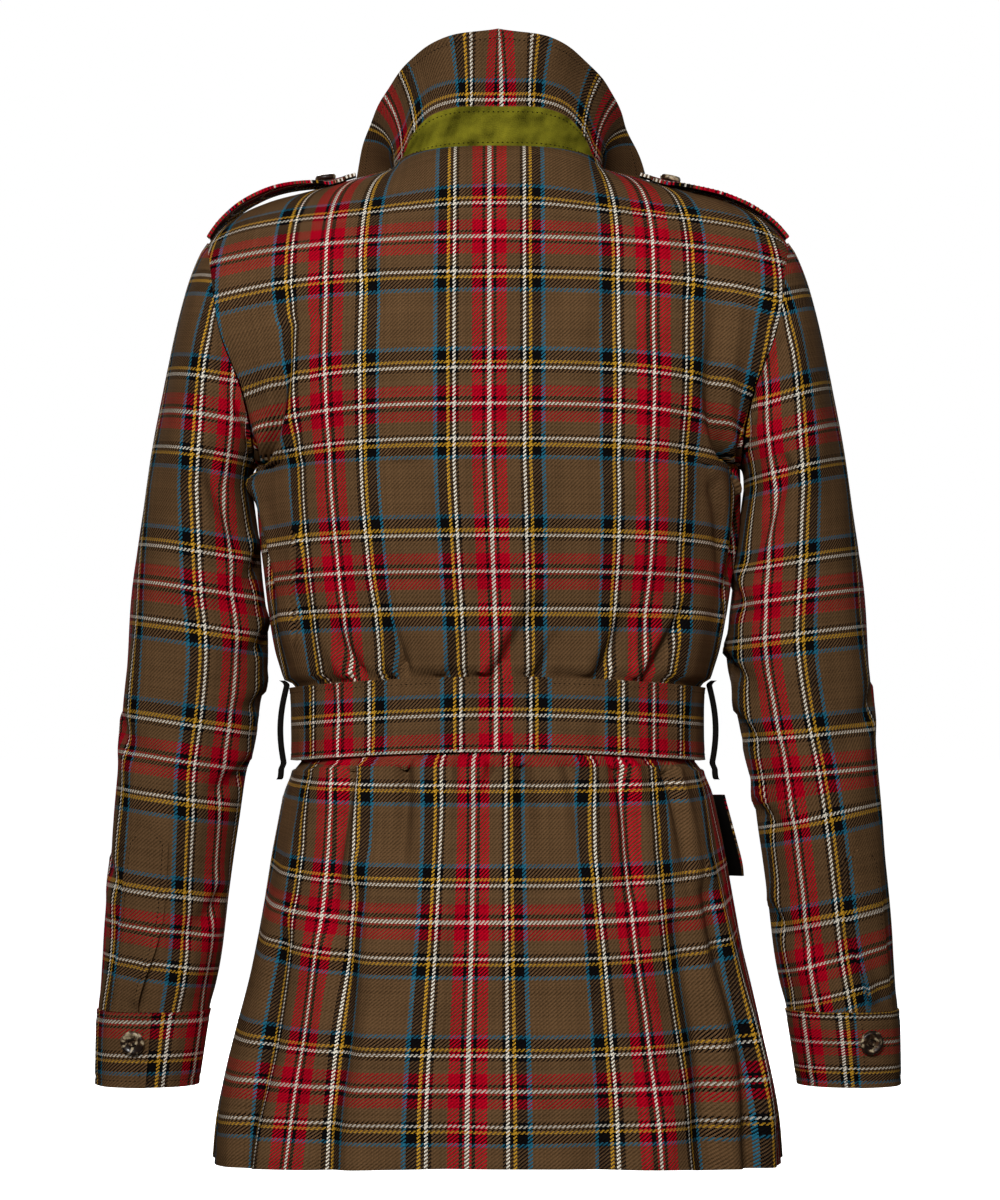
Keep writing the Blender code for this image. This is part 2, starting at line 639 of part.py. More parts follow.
def make_collar():
    """The green crescent stand at the back neck, and the checked fall all round."""
    turn, way = grid(both_ways(COLLAR_TURNS), np.linspace(0, 1, FALL_ROWS + 1))
    under = fall(turn, way)
    over = under + grid_normal(under) * COLLAR_CLOTH
    cloth_wall("collar_fall", under, over, CHECKED_WOOL)
    turn, way = grid(both_ways(STAND_TURNS), (0.0, 0.5, 1.0))
    low = collar_base(turn)
    high = collar_seam(turn) - np.array([0, 0, STAND_SEAT])
    outer = low + (high - low) * way[..., None]
    inward = -outer * np.array([1, 1, 0])
    inner = outer + inward / np.linalg.norm(inward, axis=-1, keepdims=True) * COLLAR_CLOTH
    cloth_wall("collar_stand", outer, inner, GREEN_CLOTH)


def shoulder_top(reach, across):
    """Point on top of the left shoulder, by reach along the seam and distance to the back (+) or front."""
    share = NECK_SHARE + (1 - NECK_SHARE) * (reach - NECK_HALF_WIDTH) / (SHOULDER_TIP - NECK_HALF_WIDTH)
    angle = SIDE_SEAM * share if across >= 0 else 180 - SIDE_SEAM * share
    path = torso(angle, SHOULDER_WALK)
    walked = np.concatenate([[0], np.cumsum(np.linalg.norm(np.diff(path, axis=0), axis=1))])
    level = np.interp(abs(across), walked, SHOULDER_WALK)
    return torso(angle, level), torso_normal(angle, level)


def strap_point(reach, share, lift, off):
    """Point of the left shoulder strap, standing a little off the seam between its button and the armhole."""
    along = (reach - EPAULETTE_INNER) / (EPAULETTE_OUTER - EPAULETTE_INNER)
    half = EPAULETTE_HALF_WIDTH * (EPAULETTE_TAPER + (1 - EPAULETTE_TAPER) * max(along, 0))
    half *= EPAULETTE_TIP_SHARE if along < 0 else 1
    point, normal = shoulder_top(reach, half * share)
    loose = np.clip((reach - EPAULETTE_BUTTON) / (EPAULETTE_OUTER - EPAULETTE_BUTTON), 0, 1)
    lift *= EPAULETTE_CREST + (1 - EPAULETTE_CREST) * share**2
    return point + normal * (EPAULETTE_GAP + lift * np.sin(np.pi * loose**EPAULETTE_LEAN) ** 0.8 + off)


def make_epaulette(side_name):
    """A shoulder strap from the armhole to its button near the neck."""
    side = SLEEVE_SIDES[side_name][0]
    shares = np.linspace(-1, 1, EPAULETTE_ACROSS)
    inner, outer = [np.array([[strap_point(reach, share, EPAULETTE_LIFTS[side_name], off) for share in shares]
                              for reach in EPAULETTE_REACHES]) for off in (0, EPAULETTE_CLOTH)]
    cloth_wall("epaulette_" + side_name, mirrored(outer, side), mirrored(inner, side), CHECKED_WOOL)


def seat_of(corners):
    """Middle and upward normal of four points of a face, two rows of two."""
    normal = np.cross(corners[1, 0] - corners[0, 1], corners[1, 1] - corners[0, 0])
    return corners.mean(axis=(0, 1)), normal / np.linalg.norm(normal) * np.sign(normal[2])


def epaulette_seat(side_name):
    """Where an epaulette's button sits, and the way it faces."""
    side = SLEEVE_SIDES[side_name][0]
    ends = (EPAULETTE_BUTTON - SMALL_BUTTON_RADIUS, EPAULETTE_BUTTON + SMALL_BUTTON_RADIUS)
    corners = np.array([[strap_point(reach, share, EPAULETTE_LIFTS[side_name], EPAULETTE_CLOTH + LAYER_GAP)
                         for share in (-0.3, 0.3)] for reach in ends])
    middle, normal = seat_of(corners)
    return mirrored(middle, side), mirrored(normal, side)


def patch_face(table, share, height, side, off, lift):
    """Points over the front panel, off it by a distance. Lift raises the rear edge, most of all at its foot."""
    columns = 180 - half_columns()
    start, end = columns[POCKET_FROM], columns[POCKET_TO]
    spread = column(table, POCKET_COLUMNS, "spread", height)
    angle = side * ((start + end) / 2 + share * spread * (end - start) / 2)
    down = (table[0][0] - height) / (table[0][0] - table[-1][0])
    raised = off + lift * (FLAP_TOP_LIFT + (1 - FLAP_TOP_LIFT) * down) * ((1 + share) / 2) ** 2
    return torso(angle, level_of(height)) + torso_normal(angle, level_of(height)) * raised[..., None]


def patch(name, table, side, off, lift):
    """A patch pocket or its flap, from the front panel's points moved out."""
    columns = half_columns()[POCKET_FROM:POCKET_TO + 1]
    shares = np.interp(columns, (columns[0], columns[-1]), (-1, 1))
    share, height = grid(shares, [row[0] for row in table])
    inner = patch_face(table, share, height, side, off, lift)
    outer = patch_face(table, share, height, side, off + CLOTH, lift)
    cloth_wall(name, outer, inner, CHECKED_WOOL)


def make_belt():
    """The belt, one strip from the buckle round the back and over itself at the front."""
    half = half_columns()
    whole = np.concatenate([180 - half[1:-1], both_ways(half)[::-1], half[-2:0:-1] - 180])
    tail = [-180 - turn for turn in half if turn < BELT_TAIL]
    angles = np.concatenate([[BELT_START], whole, tail, [-180 - BELT_TAIL]])
    half = BELT_WIDTH / 2
    angle, height = grid(angles, BELT_HEIGHT + np.array([half, 0, -half]))
    wrapped = (angle + 180) % 360 - 180
    level = level_of(height)
    normal = torso_normal(wrapped, level, folds=0)
    second = (BELT_CLOTH + BELT_LAYER_GAP) * (1 - ease(angle, *BELT_CLIMB))
    inner = torso(wrapped, level, folds=0) + normal * (LAYER_GAP + second)[..., None]
    cloth_wall("belt", inner + normal * BELT_CLOTH, inner, CHECKED_WOOL)


def box(size, centre):
    """A box as its own helper object."""
    bpy.ops.mesh.primitive_cube_add(size=1)
    piece = bpy.context.object
    piece.scale = Vector(size) * MM
    piece.location = Vector(centre) * MM
    bpy.ops.object.transform_apply(location=True, rotation=False, scale=True)
    for collection in piece.users_collection:
        collection.objects.unlink(piece)
    helpers.objects.link(piece)
    piece.hide_render = True
    piece.display_type = "WIRE"
    return piece


def make_buckle():
    """A plain slide buckle: its middle bar under the belt's tail, its frame over it."""
    seat = torso(180.0, level_of(BELT_HEIGHT), folds=0)
    over = 2 * (LAYER_GAP + BELT_CLOTH) + BELT_LAYER_GAP + LAYER_GAP
    rail_depth = over + BUCKLE_DEPTH - BUCKLE_RAIL_GAP
    rail_at = BELT_WIDTH / 2 + 0.8 + BUCKLE_RAIL / 2
    length = 2 * BUCKLE_HALF_LENGTH
    height = BELT_WIDTH + BUCKLE_JOIN
    middle = box((BUCKLE_BAR, BUCKLE_MIDDLE_DEPTH, height),
                 seat + (0, -BUCKLE_MIDDLE_GAP - BUCKLE_MIDDLE_DEPTH / 2, 0))
    others = [box((BUCKLE_BAR, BUCKLE_DEPTH, height),
                  seat + (way * (BUCKLE_HALF_LENGTH - BUCKLE_BAR / 2), -over - BUCKLE_DEPTH / 2, 0)) for way in (-1, 1)]
    others += [box((length, rail_depth, BUCKLE_RAIL),
                   seat + (0, -BUCKLE_RAIL_GAP - rail_depth / 2, way * rail_at)) for way in (-1, 1)]
    mesh = middle.data.copy()
    buckle = finish("buckle", mesh, HORN)
    for other in others:
        join = buckle.modifiers.new("join", "BOOLEAN")
        join.operation = "UNION"
        join.object = other


def make_loop(side_name):
    """A thin rolled loop at the side seam, passing outside the belt."""
    side = SLEEVE_SIDES[side_name][0]
    path = dict(zip(LOOP_COLUMNS, np.array(LOOP_PATH).T))
    angle = side * LOOP_ANGLE
    facing = torso_normal(angle, level_of(BELT_HEIGHT), folds=0)
    points = torso(angle, level_of(path["height"])) + facing * path["out"][:, None]
    curve = bpy.data.curves.new("belt_loop_" + side_name, "CURVE")
    curve.dimensions = "3D"
    curve.bevel_depth = LOOP_RADIUS * MM
    curve.bevel_resolution = 2
    curve.use_fill_caps = True
    spline = curve.splines.new("POLY")
    spline.points.add(len(points) - 1)
    for knot, point in zip(spline.points, points):
        knot.co = (*(point * MM), 1)
    guide = bpy.data.objects.new("loop_guide", curve)
    helpers.objects.link(guide)
    bpy.context.view_layer.update()
    mesh = bpy.data.meshes.new_from_object(guide.evaluated_get(bpy.context.evaluated_depsgraph_get()))
    bpy.data.objects.remove(guide)
    form = bmesh.new()
    form.from_mesh(mesh)
    bmesh.ops.remove_doubles(form, verts=form.verts, dist=1e-6)
    form.to_mesh(mesh)
    form.free()
    mesh.materials.clear()
    finish("belt_loop_" + side_name, mesh, DARK_CLOTH)


def make_button(name, seat, facing, radius):
    """A turned horn button, lying on its seat."""
    form = bmesh.new()
    bmesh.ops.create_cone(form, cap_ends=True, segments=BUTTON_SIDES, radius1=radius * MM,
                          radius2=(radius - 0.5) * MM, depth=BUTTON_THICKNESS * MM)
    mesh = bpy.data.meshes.new(name)
    form.to_mesh(mesh)
    form.free()
    button = finish(name, mesh, HORN)
    middle = Vector(seat + facing * (LAYER_GAP + BUTTON_THICKNESS / 2)) * MM
    turn = Vector((0, 0, 1)).rotation_difference(Vector(facing))
    button.matrix_world = Matrix.Translation(middle) @ turn.to_matrix().to_4x4()


def front_seat(height):
    """Where a front button sits on the lapped right front, and the way it faces."""
    if height < ARMPIT_HEIGHT:
        level = level_of(height)
    else:
        level = (height - ARMPIT_HEIGHT) / (NECK_FRONT_HEIGHT - ARMPIT_HEIGHT)
    return torso(-180.0, level), torso_normal(-180.0, level)


for old in list(bpy.data.objects):
    bpy.data.objects.remove(old)
jacket = bpy.data.collections.new("safari_jacket")
helpers = bpy.data.collections.new("helpers")
bpy.context.scene.collection.children.link(jacket)
bpy.context.scene.collection.children.link(helpers)

make_body()
make_collar()
make_belt()
make_buckle()
for side_name, (side, *_) in SLEEVE_SIDES.items():
    make_sleeve(side_name)
    make_cuff(side_name)
    make_placket(side_name)
    make_epaulette(side_name)
    make_loop(side_name)
    patch("pocket_" + side_name, POCKET, side, POCKET_GAP, 0)
    patch("pocket_flap_" + side_name, FLAP, side, POCKET_GAP + CLOTH + LAYER_GAP, FLAP_LIFTS[side_name])
    make_button("button_cuff_" + side_name, *cuff_seat(side_name), BUTTON_RADIUS)
    make_button("button_epaulette_" + side_name, *epaulette_seat(side_name), SMALL_BUTTON_RADIUS)
for number, height in enumerate(FRONT_BUTTON_HEIGHTS, 1):
    make_button(f"button_front_{number}", *front_seat(height), BUTTON_RADIUS)
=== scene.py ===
"""Dresses the safari jacket's CAD frame: tartan wool panels, stitching, horn buttons, light and camera.

The front faces -Y and the back +Y, with +X on the wearer's left, in the frame of the CAD model. The cloth
is worked out in millimetres on the model's own surfaces, and its meshes are made in metres.
"""

import bpy
import numpy as np
from mathutils import Matrix, Vector


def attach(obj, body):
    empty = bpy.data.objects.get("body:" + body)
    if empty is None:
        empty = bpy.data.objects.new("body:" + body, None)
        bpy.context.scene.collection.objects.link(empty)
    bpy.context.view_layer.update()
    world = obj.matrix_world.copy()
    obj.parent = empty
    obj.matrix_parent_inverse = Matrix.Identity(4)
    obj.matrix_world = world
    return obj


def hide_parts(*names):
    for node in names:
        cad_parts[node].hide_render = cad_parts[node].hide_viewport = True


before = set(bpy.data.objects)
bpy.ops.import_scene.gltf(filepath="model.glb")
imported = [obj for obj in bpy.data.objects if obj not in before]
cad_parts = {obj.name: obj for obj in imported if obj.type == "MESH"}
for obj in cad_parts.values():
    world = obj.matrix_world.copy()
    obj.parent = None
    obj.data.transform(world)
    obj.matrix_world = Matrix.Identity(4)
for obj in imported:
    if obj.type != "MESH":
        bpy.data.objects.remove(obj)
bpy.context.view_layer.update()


# Checked wool: a soft 2/2 twill of about three threads to two millimetres, woven as a tartan with the same
# sett both ways. Warp and weft are coloured thread by thread, so stripes cross as half-and-half twill.

THREAD = 0.7
TWILL_THREADS = 4  # threads after which the weave repeats
WEFT_STRETCH = 1.06  # the weft's stripes are a little wider than the warp's
DYES = {
    "white": (240, 232, 216),
    "red": (184, 3, 32),
    "black": (14, 12, 13),
    "olive": (105, 78, 51),
    "yellow": (208, 156, 44),
    "blue": (36, 108, 134),
}
SETT_COLUMNS = ("dye", "ends_at")
SETT = (
    ("white", 1.0),
    ("red", 2.45),
    ("black", 4.9),
    ("red", 12.0),
    ("olive", 20.6),
    ("black", 23.1),
    ("white", 25.1),
    ("black", 27.0),
    ("yellow", 29.1),
    ("black", 35.6),
    ("blue", 38.4),
    ("olive", 57.2),
)
HALF_SETT = SETT[-1][1]


def dyed(red, green, blue):
    """An eye's colour of 0 to 255 as the shader's linear one."""
    shares = np.array([red, green, blue]) / 255
    return (*np.where(shares > 0.04045, ((shares + 0.055) / 1.055) ** 2.4, shares / 12.92), 1.0)


class Wire:
    """A value in a material. Sums on it add Math nodes, and node() adds any other node."""

    def __init__(self, tree, socket=None):
        self.tree = tree
        self.socket = socket

    def node(self, kind, settings, sockets, output=0):
        made = self.tree.nodes.new(kind)
        for name, value in settings.items():
            if name == "stops":
                self.lay_stops(made.color_ramp, value)
            else:
                setattr(made, name, value)
        for name, value in sockets.items():
            if isinstance(value, Wire):
                self.tree.links.new(value.socket, made.inputs[name])
            else:
                made.inputs[name].default_value = value
        return Wire(self.tree, made.outputs[output])

    def lay_stops(self, ramp, stops):
        ramp.interpolation = "CONSTANT"
        while len(ramp.elements) < len(stops):
            ramp.elements.new(1.0)
        for element, (place, colour) in zip(ramp.elements, stops):
            element.position = place
            element.color = colour

    def sum(self, operation, *values):
        return self.node("ShaderNodeMath", {"operation": operation}, dict(enumerate(values)))

    def __add__(self, other):
        return self.sum("ADD", self, other)

    def __radd__(self, other):
        return self.sum("ADD", other, self)

    def __sub__(self, other):
        return self.sum("SUBTRACT", self, other)

    def __rsub__(self, other):
        return self.sum("SUBTRACT", other, self)

    def __mul__(self, other):
        return self.sum("MULTIPLY", self, other)

    def __rmul__(self, other):
        return self.sum("MULTIPLY", other, self)

    def __truediv__(self, other):
        return self.sum("DIVIDE", self, other)


def new_material(name, roughness, coat=0.0, specular=0.05):
    """An empty wire in a new material, and the material's shader."""
    material = bpy.data.materials.new(name)
    material.use_nodes = True
    shader = material.node_tree.nodes["Principled BSDF"]
    shader.inputs["Roughness"].default_value = roughness
    shader.inputs["Coat Weight"].default_value = coat
    shader.inputs["Specular IOR Level"].default_value = specular
    return material, Wire(material.node_tree), shader


def feed(wire, shader, name):
    wire.tree.links.new(wire.socket, shader.inputs[name])


def blend(factor, first, second, how="MIX"):
    """Two colours mixed by a factor."""
    sockets = {"Factor": factor, 6: first, 7: second}
    some = next(value for value in sockets.values() if isinstance(value, Wire))
    settings = {"data_type": "RGBA", "blend_type": how, "clamp_result": False}
    return some.node("ShaderNodeMix", settings, sockets, 2)


def grey(value):
    return value.node("ShaderNodeCombineColor", {}, dict.fromkeys(range(3), value))


def noise(wire, place, scale, **more):
    return wire.node("ShaderNodeTexNoise", {}, {"Vector": place, "Scale": scale, **more})


def bumped(wire, shader, height, strength, distance):
    """Low relief in the surface, from a height."""
    sockets = {"Strength": strength, "Distance": distance, "Height": height}
    feed(wire.node("ShaderNodeBump", {}, sockets), shader, "Normal")


def threads(across, stretch):
    """Number, colour and tone of the thread at a place across the stripes."""
    number = across.sum("FLOOR", across / THREAD)
    middle = (number + 0.5) * THREAD
    half = HALF_SETT * stretch
    share = across.sum("PINGPONG", middle, half) / half
    stripes = [dict(zip(SETT_COLUMNS, row)) for row in SETT]
    starts = [0.0] + [stripe["ends_at"] / HALF_SETT for stripe in stripes[:-1]]
    stops = [(start, dyed(*DYES[stripe["dye"]])) for start, stripe in zip(starts, stripes)]
    colour = across.node("ShaderNodeValToRGB", {"stops": stops}, {0: share})
    tone = across.node("ShaderNodeTexWhiteNoise", {"noise_dimensions": "1D"}, {"W": number})
    return number, colour, tone


def checked_wool():
    """The woven check. Each crossing shows its warp or its weft, a step further on from thread to thread,
    with painted shade along the twill's diagonal grooves.
    """
    material, wire, shader = new_material("checked_wool", 0.92)
    place = wire.node("ShaderNodeUVMap", {"uv_map": "cloth"}, {})
    warp_place = wire.node("ShaderNodeSeparateXYZ", {}, {0: place})
    weft_place = Wire(wire.tree, warp_place.socket.node.outputs[1])
    warp, warp_colour, warp_tone = threads(warp_place, 1.0)
    weft, weft_colour, weft_tone = threads(weft_place, WEFT_STRETCH)
    step = wire.sum("FRACT", (warp + weft) / TWILL_THREADS)
    over = wire.sum("LESS_THAN", step, 0.5)
    cloth = blend(over, weft_colour, warp_colour)
    tone = wire.node("ShaderNodeMix", {"data_type": "FLOAT"}, {"Factor": over, 2: weft_tone, 3: warp_tone})
    fibre = noise(wire, place, 0.9, Detail=3.0)
    broad = noise(wire, place, 0.035, Detail=3.0)
    # painted shade: the colour darkens and lightens with the place in the twill's step, for the shadow
    # between its diagonal ribs
    painted_groove_shade = wire.sum("ABSOLUTE", step - 0.5) * 2
    light = tone * 0.4 + fibre * 0.5 + broad * 0.5 + painted_groove_shade * 0.8 - 0.08
    feed(blend(1.0, cloth, grey(light), "MULTIPLY"), shader, "Base Color")
    ridge = wire.sum("SINE", step * (2 * np.pi)) * 0.5 + fibre * 1.2
    bumped(wire, shader, ridge, 0.5, 0.0004)
    return material


wool = checked_wool()


# Back and fronts: three panels of the checked wool, cut in one from shoulder to hem and sewn at the
# shoulders and sides. The belt gathers them in soft uneven folds above and below, and the hem hangs free.

MM = 0.001
LEVEL_ONLY = np.array([1, 1, 0])  # leaves a point's height out
NUDGE = 1e-3  # step used to find a surface's slope
SIDE_SEAM = 90.0
HAIR = 1e-4  # keeps a panel's edge on its own side of the side seam
CLOTH = 1.5
SEAM_GAP = 0.3
LAYER_GAP = 0.35
ARMPIT_HEIGHT = -235.0
HEM_HEIGHT = -732.0
LEVEL_STEP = 100.0  # one level below the armpit, in millimetres
RING_SQUARENESS = 2.25
BODY_COLUMNS = ("height", "half_width", "back_depth", "front_depth")
BODY_RINGS = (
    (-235, 174, 120, 121),
    (-255, 173.6, 119.8, 121.2),
    (-300, 169.3, 117.5, 120.5),
    (-340, 164.6, 112, 116),
    (-365, 159.8, 108, 111),
    (-392, 152, 103.5, 105.5),
    (-419, 150.5, 102.5, 105.5),
    (-446, 151.5, 103.5, 105.5),
    (-470, 155, 109, 110),
    (-505, 162, 118, 116),
    (-545, 169, 126, 123),
    (-590, 178, 134, 131),
    (-640, 189, 142, 139),
    (-690, 199, 149, 146),
    (-732, 203, 153, 149),
)
BELT_HEIGHT = -419.0
BELT_WIDTH = 53.0
BELT_PINCH = 6.5
BELT_LEDGE = 6.0
BELT_RISE = 8.0  # lift of the belt at the centre back
BELT_DROOP_SIDE = 7.0
BELT_DROOP_FRONT = 3.0
BELT_DROOP_REACH = 130.0
BUCKLE_RELIEF = 15.0  # degrees at the front where the pinch eases under the buckle
HEM_LIFT = 9.0
HEM_LIFT_FROM = -560.0
NECK_HALF_WIDTH = 76.0
NECK_BACK = 58.0
NECK_FRONT = 88.0
NECK_BACK_HEIGHT = -8.0
NECK_SIDE_HEIGHT = -18.0
NECK_FRONT_HEIGHT = -80.0
NECK_SHARE = 0.38  # share of a half panel's top edge that is neckline
SHOULDER_TIP = 209.0
SHOULDER_TIP_HEIGHT = -72.0
SHOULDER_COLUMNS = ("reach", "height")
SHOULDER_SEAM = (
    (76, -18), (100, -24), (117, -29), (140, -35), (168, -43), (187, -52), (201, -63), (209, -72))
ARMHOLE_DEPTH_BACK = 74.0
ARMHOLE_DEPTH_FRONT = 70.0
ARMHOLE_ROUNDNESS = 2.2
ARMHOLE_COLUMNS = ("height", "back_reach", "front_reach")
ARMHOLE = (
    (-235, 174, 174), (-210, 175, 172), (-185, 180, 174), (-142, 196, 185), (-91, 205, 201), (-72, 209, 209))
CORNER_EASE = 2.4
CENTRE_SLOPE = 1.7
SHOULDER_SLOPE = 2.3
DEEPEST_EDGE = 0.98  # the armhole edge stays this share of the chest depth
FOLD_COLUMNS = ("angle", "height", "reach", "width", "depth")
BODY_FOLDS = (
    (-34, -352, 60, 9, -4),
    (31, -360, 55, 8, -3),
    (-8, -356, 50, 7, -3),
    (-58, -350, 60, 9, 3),
    (62, -345, 70, 10, 3),
    (-138, -350, 60, 9, -4),
    (142, -352, 60, 9, -4),
    (-47, -640, 150, 10, -6),
    (52, -650, 150, 11, -6),
    (-70, -660, 150, 9, 5),
    (74, -650, 150, 10, 5),
    (-16, -610, 150, 10, 3),
    (22, -620, 150, 11, 3),
    (-128, -640, 150, 11, -6),
    (124, -650, 150, 11, -6),
    (-104, -690, 110, 9, 4),
    (101, -690, 110, 9, 4),
    (89, -610, 150, 16, -3.2),
)
FRONT_OVERLAP = 5.7  # degrees by which each front runs past the centre front
LAP_FULL = 174.0  # degrees over which the left front sinks under the right one
LAP_START = 165.0
PANEL_RISES = 54
PANEL_HEIGHTS = 160
BACK_COLUMNS = 211
FRONT_COLUMNS = 96
SEAM_DIP = 1.0  # how far a seam pulls the cloth in, and over what distance
SEAM_DIP_REACH = 2.6
SEAM_HOLD = 16.0  # creases fade out over this distance from the side seam
BODY_DEGREE = 2.7  # millimetres round the body to a degree
CREASES_END = (0.55, 0.95)  # share of the rise above the armpit over which they fade out
CREASE_RIDGE = (0.45, 1.7, 1.1)  # of the ridge beside a crease: share of its depth, place and reach in widths
CREASE_COLUMNS = ("from_turn", "from_height", "to_turn", "to_height", "width", "start_depth", "end_depth")
BACK_CREASES = (
    (24.5, -388, 27, -352, 4.7, -13.8, -2.6),
    (-1, -388, -9, -340, 6.8, -13.0, -2.6),
    (-12, -390, -15, -360, 4.2, -8.7, -2.0),
    (11, -388, 9, -358, 6, -7.2, -2.0),
    (39, -386, 46, -345, 6.8, -8.7, -2.0),
    (-30, -386, -34, -345, 7.6, -8.7, -2.6),
    (-45, -386, -52, -338, 6, -9.4, -2.0),
    (58, -285, 61, -352, 3.6, -9.8, -5.6),
    (86, -230, 73, -330, 9, -13.6, -2.2),
    (-86, -230, -74, -325, 9, -11.9, -2.2),
    (66, -122, 77, -232, 9, -3.0, -12.0),
    (-66, -112, -77, -232, 10, -3.0, -12.0),
    (57, -135, 62, -190, 5, -3.5, -1.0),
    (-56, -120, -62, -185, 6, -3.0, -1.0),
    (-62, -255, -70, -320, 8, -4.5, -1.4),
    (40, -110, 34, -160, 11.2, -3.8, -1.1),
    (-36, -105, -28, -160, 12.8, -3.8, -1.1),
    (27, -444, 24, -520, 6.8, -13.8, -3.2),
    (-5, -444, -7, -505, 6, -12.3, -2.6),
    (2.5, -440, 6.5, -478, 2.5, -8.7, -3.9),
    (14, -444, 14, -492, 6, -8.0, -2.0),
    (-18, -444, -22, -515, 6.8, -8.7, -2.0),
    (-33, -444, -36, -530, 7.6, -10.2, -3.2),
    (45, -444, 43, -560, 7.6, -8.7, -3.9),
    (-52, -444, -54, -520, 6.8, -9.4, -2.6),
    (37, -540, 36, -735, 12, -6.8, -12.8),
    (-50, -560, -49, -735, 11, -5.2, -12.0),
    (-63, -540, -63, -735, 10, -5.2, -10.4),
    (61, -570, 62, -735, 11, -3.8, -9.6),
    (8, -620, 9, -735, 16, -1.5, -7.2),
    (-22, -640, -22, -735, 16, -1.5, -6.4),
)
FRONT_CREASES = (
    (97, -232, 112, -300, 7.2, -6.8, -1.5),
    (118, -386, 112, -338, 7.2, -6.0, -1.5),
    (134, -386, 131, -350, 6.3, -6.8, -2.2),
    (149, -386, 152, -344, 7.2, -6.0, -1.5),
    (163, -386, 160, -356, 5.4, -4.5, -1.5),
    (108, -150, 120, -205, 10.8, -3.0, -0.8),
    (160, -150, 152, -230, 14.4, -2.2, -0.8),
    (105, -444, 108, -520, 7.2, -6.8, -2.2),
    (158, -444, 156, -520, 8.1, -6.0, -3.0),
    (168, -444, 167, -500, 5.4, -4.5, -1.5),
    (104, -560, 103, -735, 10.8, -3.8, -8.2),
    (156, -600, 157, -735, 12.6, -2.2, -6.0),
)
BEND_COLUMNS = ("height", "bend", "down")
BACK_BEND = (
    (-745, 4, 686),
    (-697, 4, 635),
    (-577.5, -25, 508),
    (-452, -4, 381),
    (-322.6, 9, 254),
    (-200.5, 17, 127),
    (-77, 14, 0),
)
BACK_SHIFT_COLUMNS = ("height", "shift")
BACK_SHIFT = ((-732, 18.5), (-440, 18.5), (-400, 1.5), (-360, 1.5), (-235, 6), (0, 6))
WARP_EASE = 0.985
GATHER_COLUMNS = ("height", "share")
GATHER = ((-732, 1), (-505, 1), (-475, 0.975), (-450, 0.94), (-386, 0.945), (-365, 0.975), (-340, 1), (0, 1))
BELOW_BELT = (-450.0, 13.0, 4.0)  # where the skirt is drawn in under the belt, its reach, and how far
FRONT_LINES = (13.6, -77.0, 1.02)  # from the centre front to a white line, a white line's height, stretch


def column(rows, names, name, at):
    """A table's column read smoothly at values of its first column."""
    table = np.array(rows, float)
    places = table[:, 0]
    values = table[:, names.index(name)]
    if places[0] > places[-1]:
        places, values = places[::-1], values[::-1]
    slopes = np.gradient(values, places)
    at = np.clip(np.asarray(at, float), places[0], places[-1])
    right = np.clip(np.searchsorted(places, at), 1, len(places) - 1)
    left = right - 1
    gap = places[right] - places[left]
    t = (at - places[left]) / gap
    start = values[left] * (1 + 2 * t) * (1 - t) ** 2 + slopes[left] * gap * t * (1 - t) ** 2
    end = values[right] * (3 - 2 * t) * t**2 - slopes[right] * gap * (1 - t) * t**2
    return start + end


def ease(value, low, high):
    """0 below low, 1 above high, smooth between."""
    t = np.clip((value - low) / (high - low), 0, 1)
    return t * t * (3 - 2 * t)


def near(value, middle, reach):
    """1 at the middle, falling off smoothly to both sides over a reach."""
    return np.exp(-(((value - middle) / reach) ** 2))


def round_off(share, roundness):
    """Falls from 1 to 0 as share goes from 0 to 1, along a rounded corner."""
    return (1 - np.clip(np.abs(share), 0, 1) ** roundness) ** (1 / roundness)


def neckline(turn):
    """Point of the neck seam, by turn in degrees from the centre back."""
    turn = np.asarray(turn, float)
    away = np.cos(np.radians(turn))
    back = away >= 0
    depth = np.where(back, NECK_BACK, NECK_FRONT)
    behind = NECK_BACK_HEIGHT + (1 - np.abs(away)) ** 1.5 * (NECK_SIDE_HEIGHT - NECK_BACK_HEIGHT)
    ahead = NECK_SIDE_HEIGHT + (NECK_FRONT_HEIGHT - NECK_SIDE_HEIGHT) * np.abs(away) ** 1.25
    drop = np.where(back, behind, ahead)
    return np.stack([NECK_HALF_WIDTH * np.sin(np.radians(turn)), depth * away, drop], -1)


def top_edge(share, front):
    """Top of a half panel: neckline up to NECK_SHARE, then the shoulder seam."""
    neck_turn = 90 * np.clip(share / NECK_SHARE, -1, 1)
    neck = neckline(np.where(front, 180 - neck_turn, neck_turn))
    along = np.clip((share - NECK_SHARE) / (1 - NECK_SHARE), 0, 1)
    reach = NECK_HALF_WIDTH + (SHOULDER_TIP - NECK_HALF_WIDTH) * along
    height = column(SHOULDER_SEAM, SHOULDER_COLUMNS, "height", reach)
    seam = np.stack([reach, np.zeros_like(reach), height], -1)
    return np.where((share > NECK_SHARE)[..., None], seam, neck)


def eased_top(share, rise, front):
    """The top edge's plan as felt lower down the panel, where the corner at the neck is smoothed away."""
    reach = CORNER_EASE * np.sqrt(1 - rise) * np.abs(share) * (1 - np.abs(share))
    steps = ((-1, 1), (-0.5, 2), (0, 3), (0.5, 2), (1, 1))
    smooth = sum(weight * top_edge(share + step * reach, front) for step, weight in steps) / 9
    smooth[..., 2] = top_edge(share, front)[..., 2]
    return smooth


def armhole(rise, front):
    """Reach, depth and height of the armhole's edge at a share of its rise."""
    height = ARMPIT_HEIGHT + (SHOULDER_TIP_HEIGHT - ARMPIT_HEIGHT) * rise
    back_reach, front_reach = [column(ARMHOLE, ARMHOLE_COLUMNS, name, height) for name in ARMHOLE_COLUMNS[1:]]
    depth = np.where(front, ARMHOLE_DEPTH_FRONT, ARMHOLE_DEPTH_BACK)
    depth = depth * round_off(2 * rise - 1, ARMHOLE_ROUNDNESS)
    return np.where(front, front_reach, back_reach), depth, height


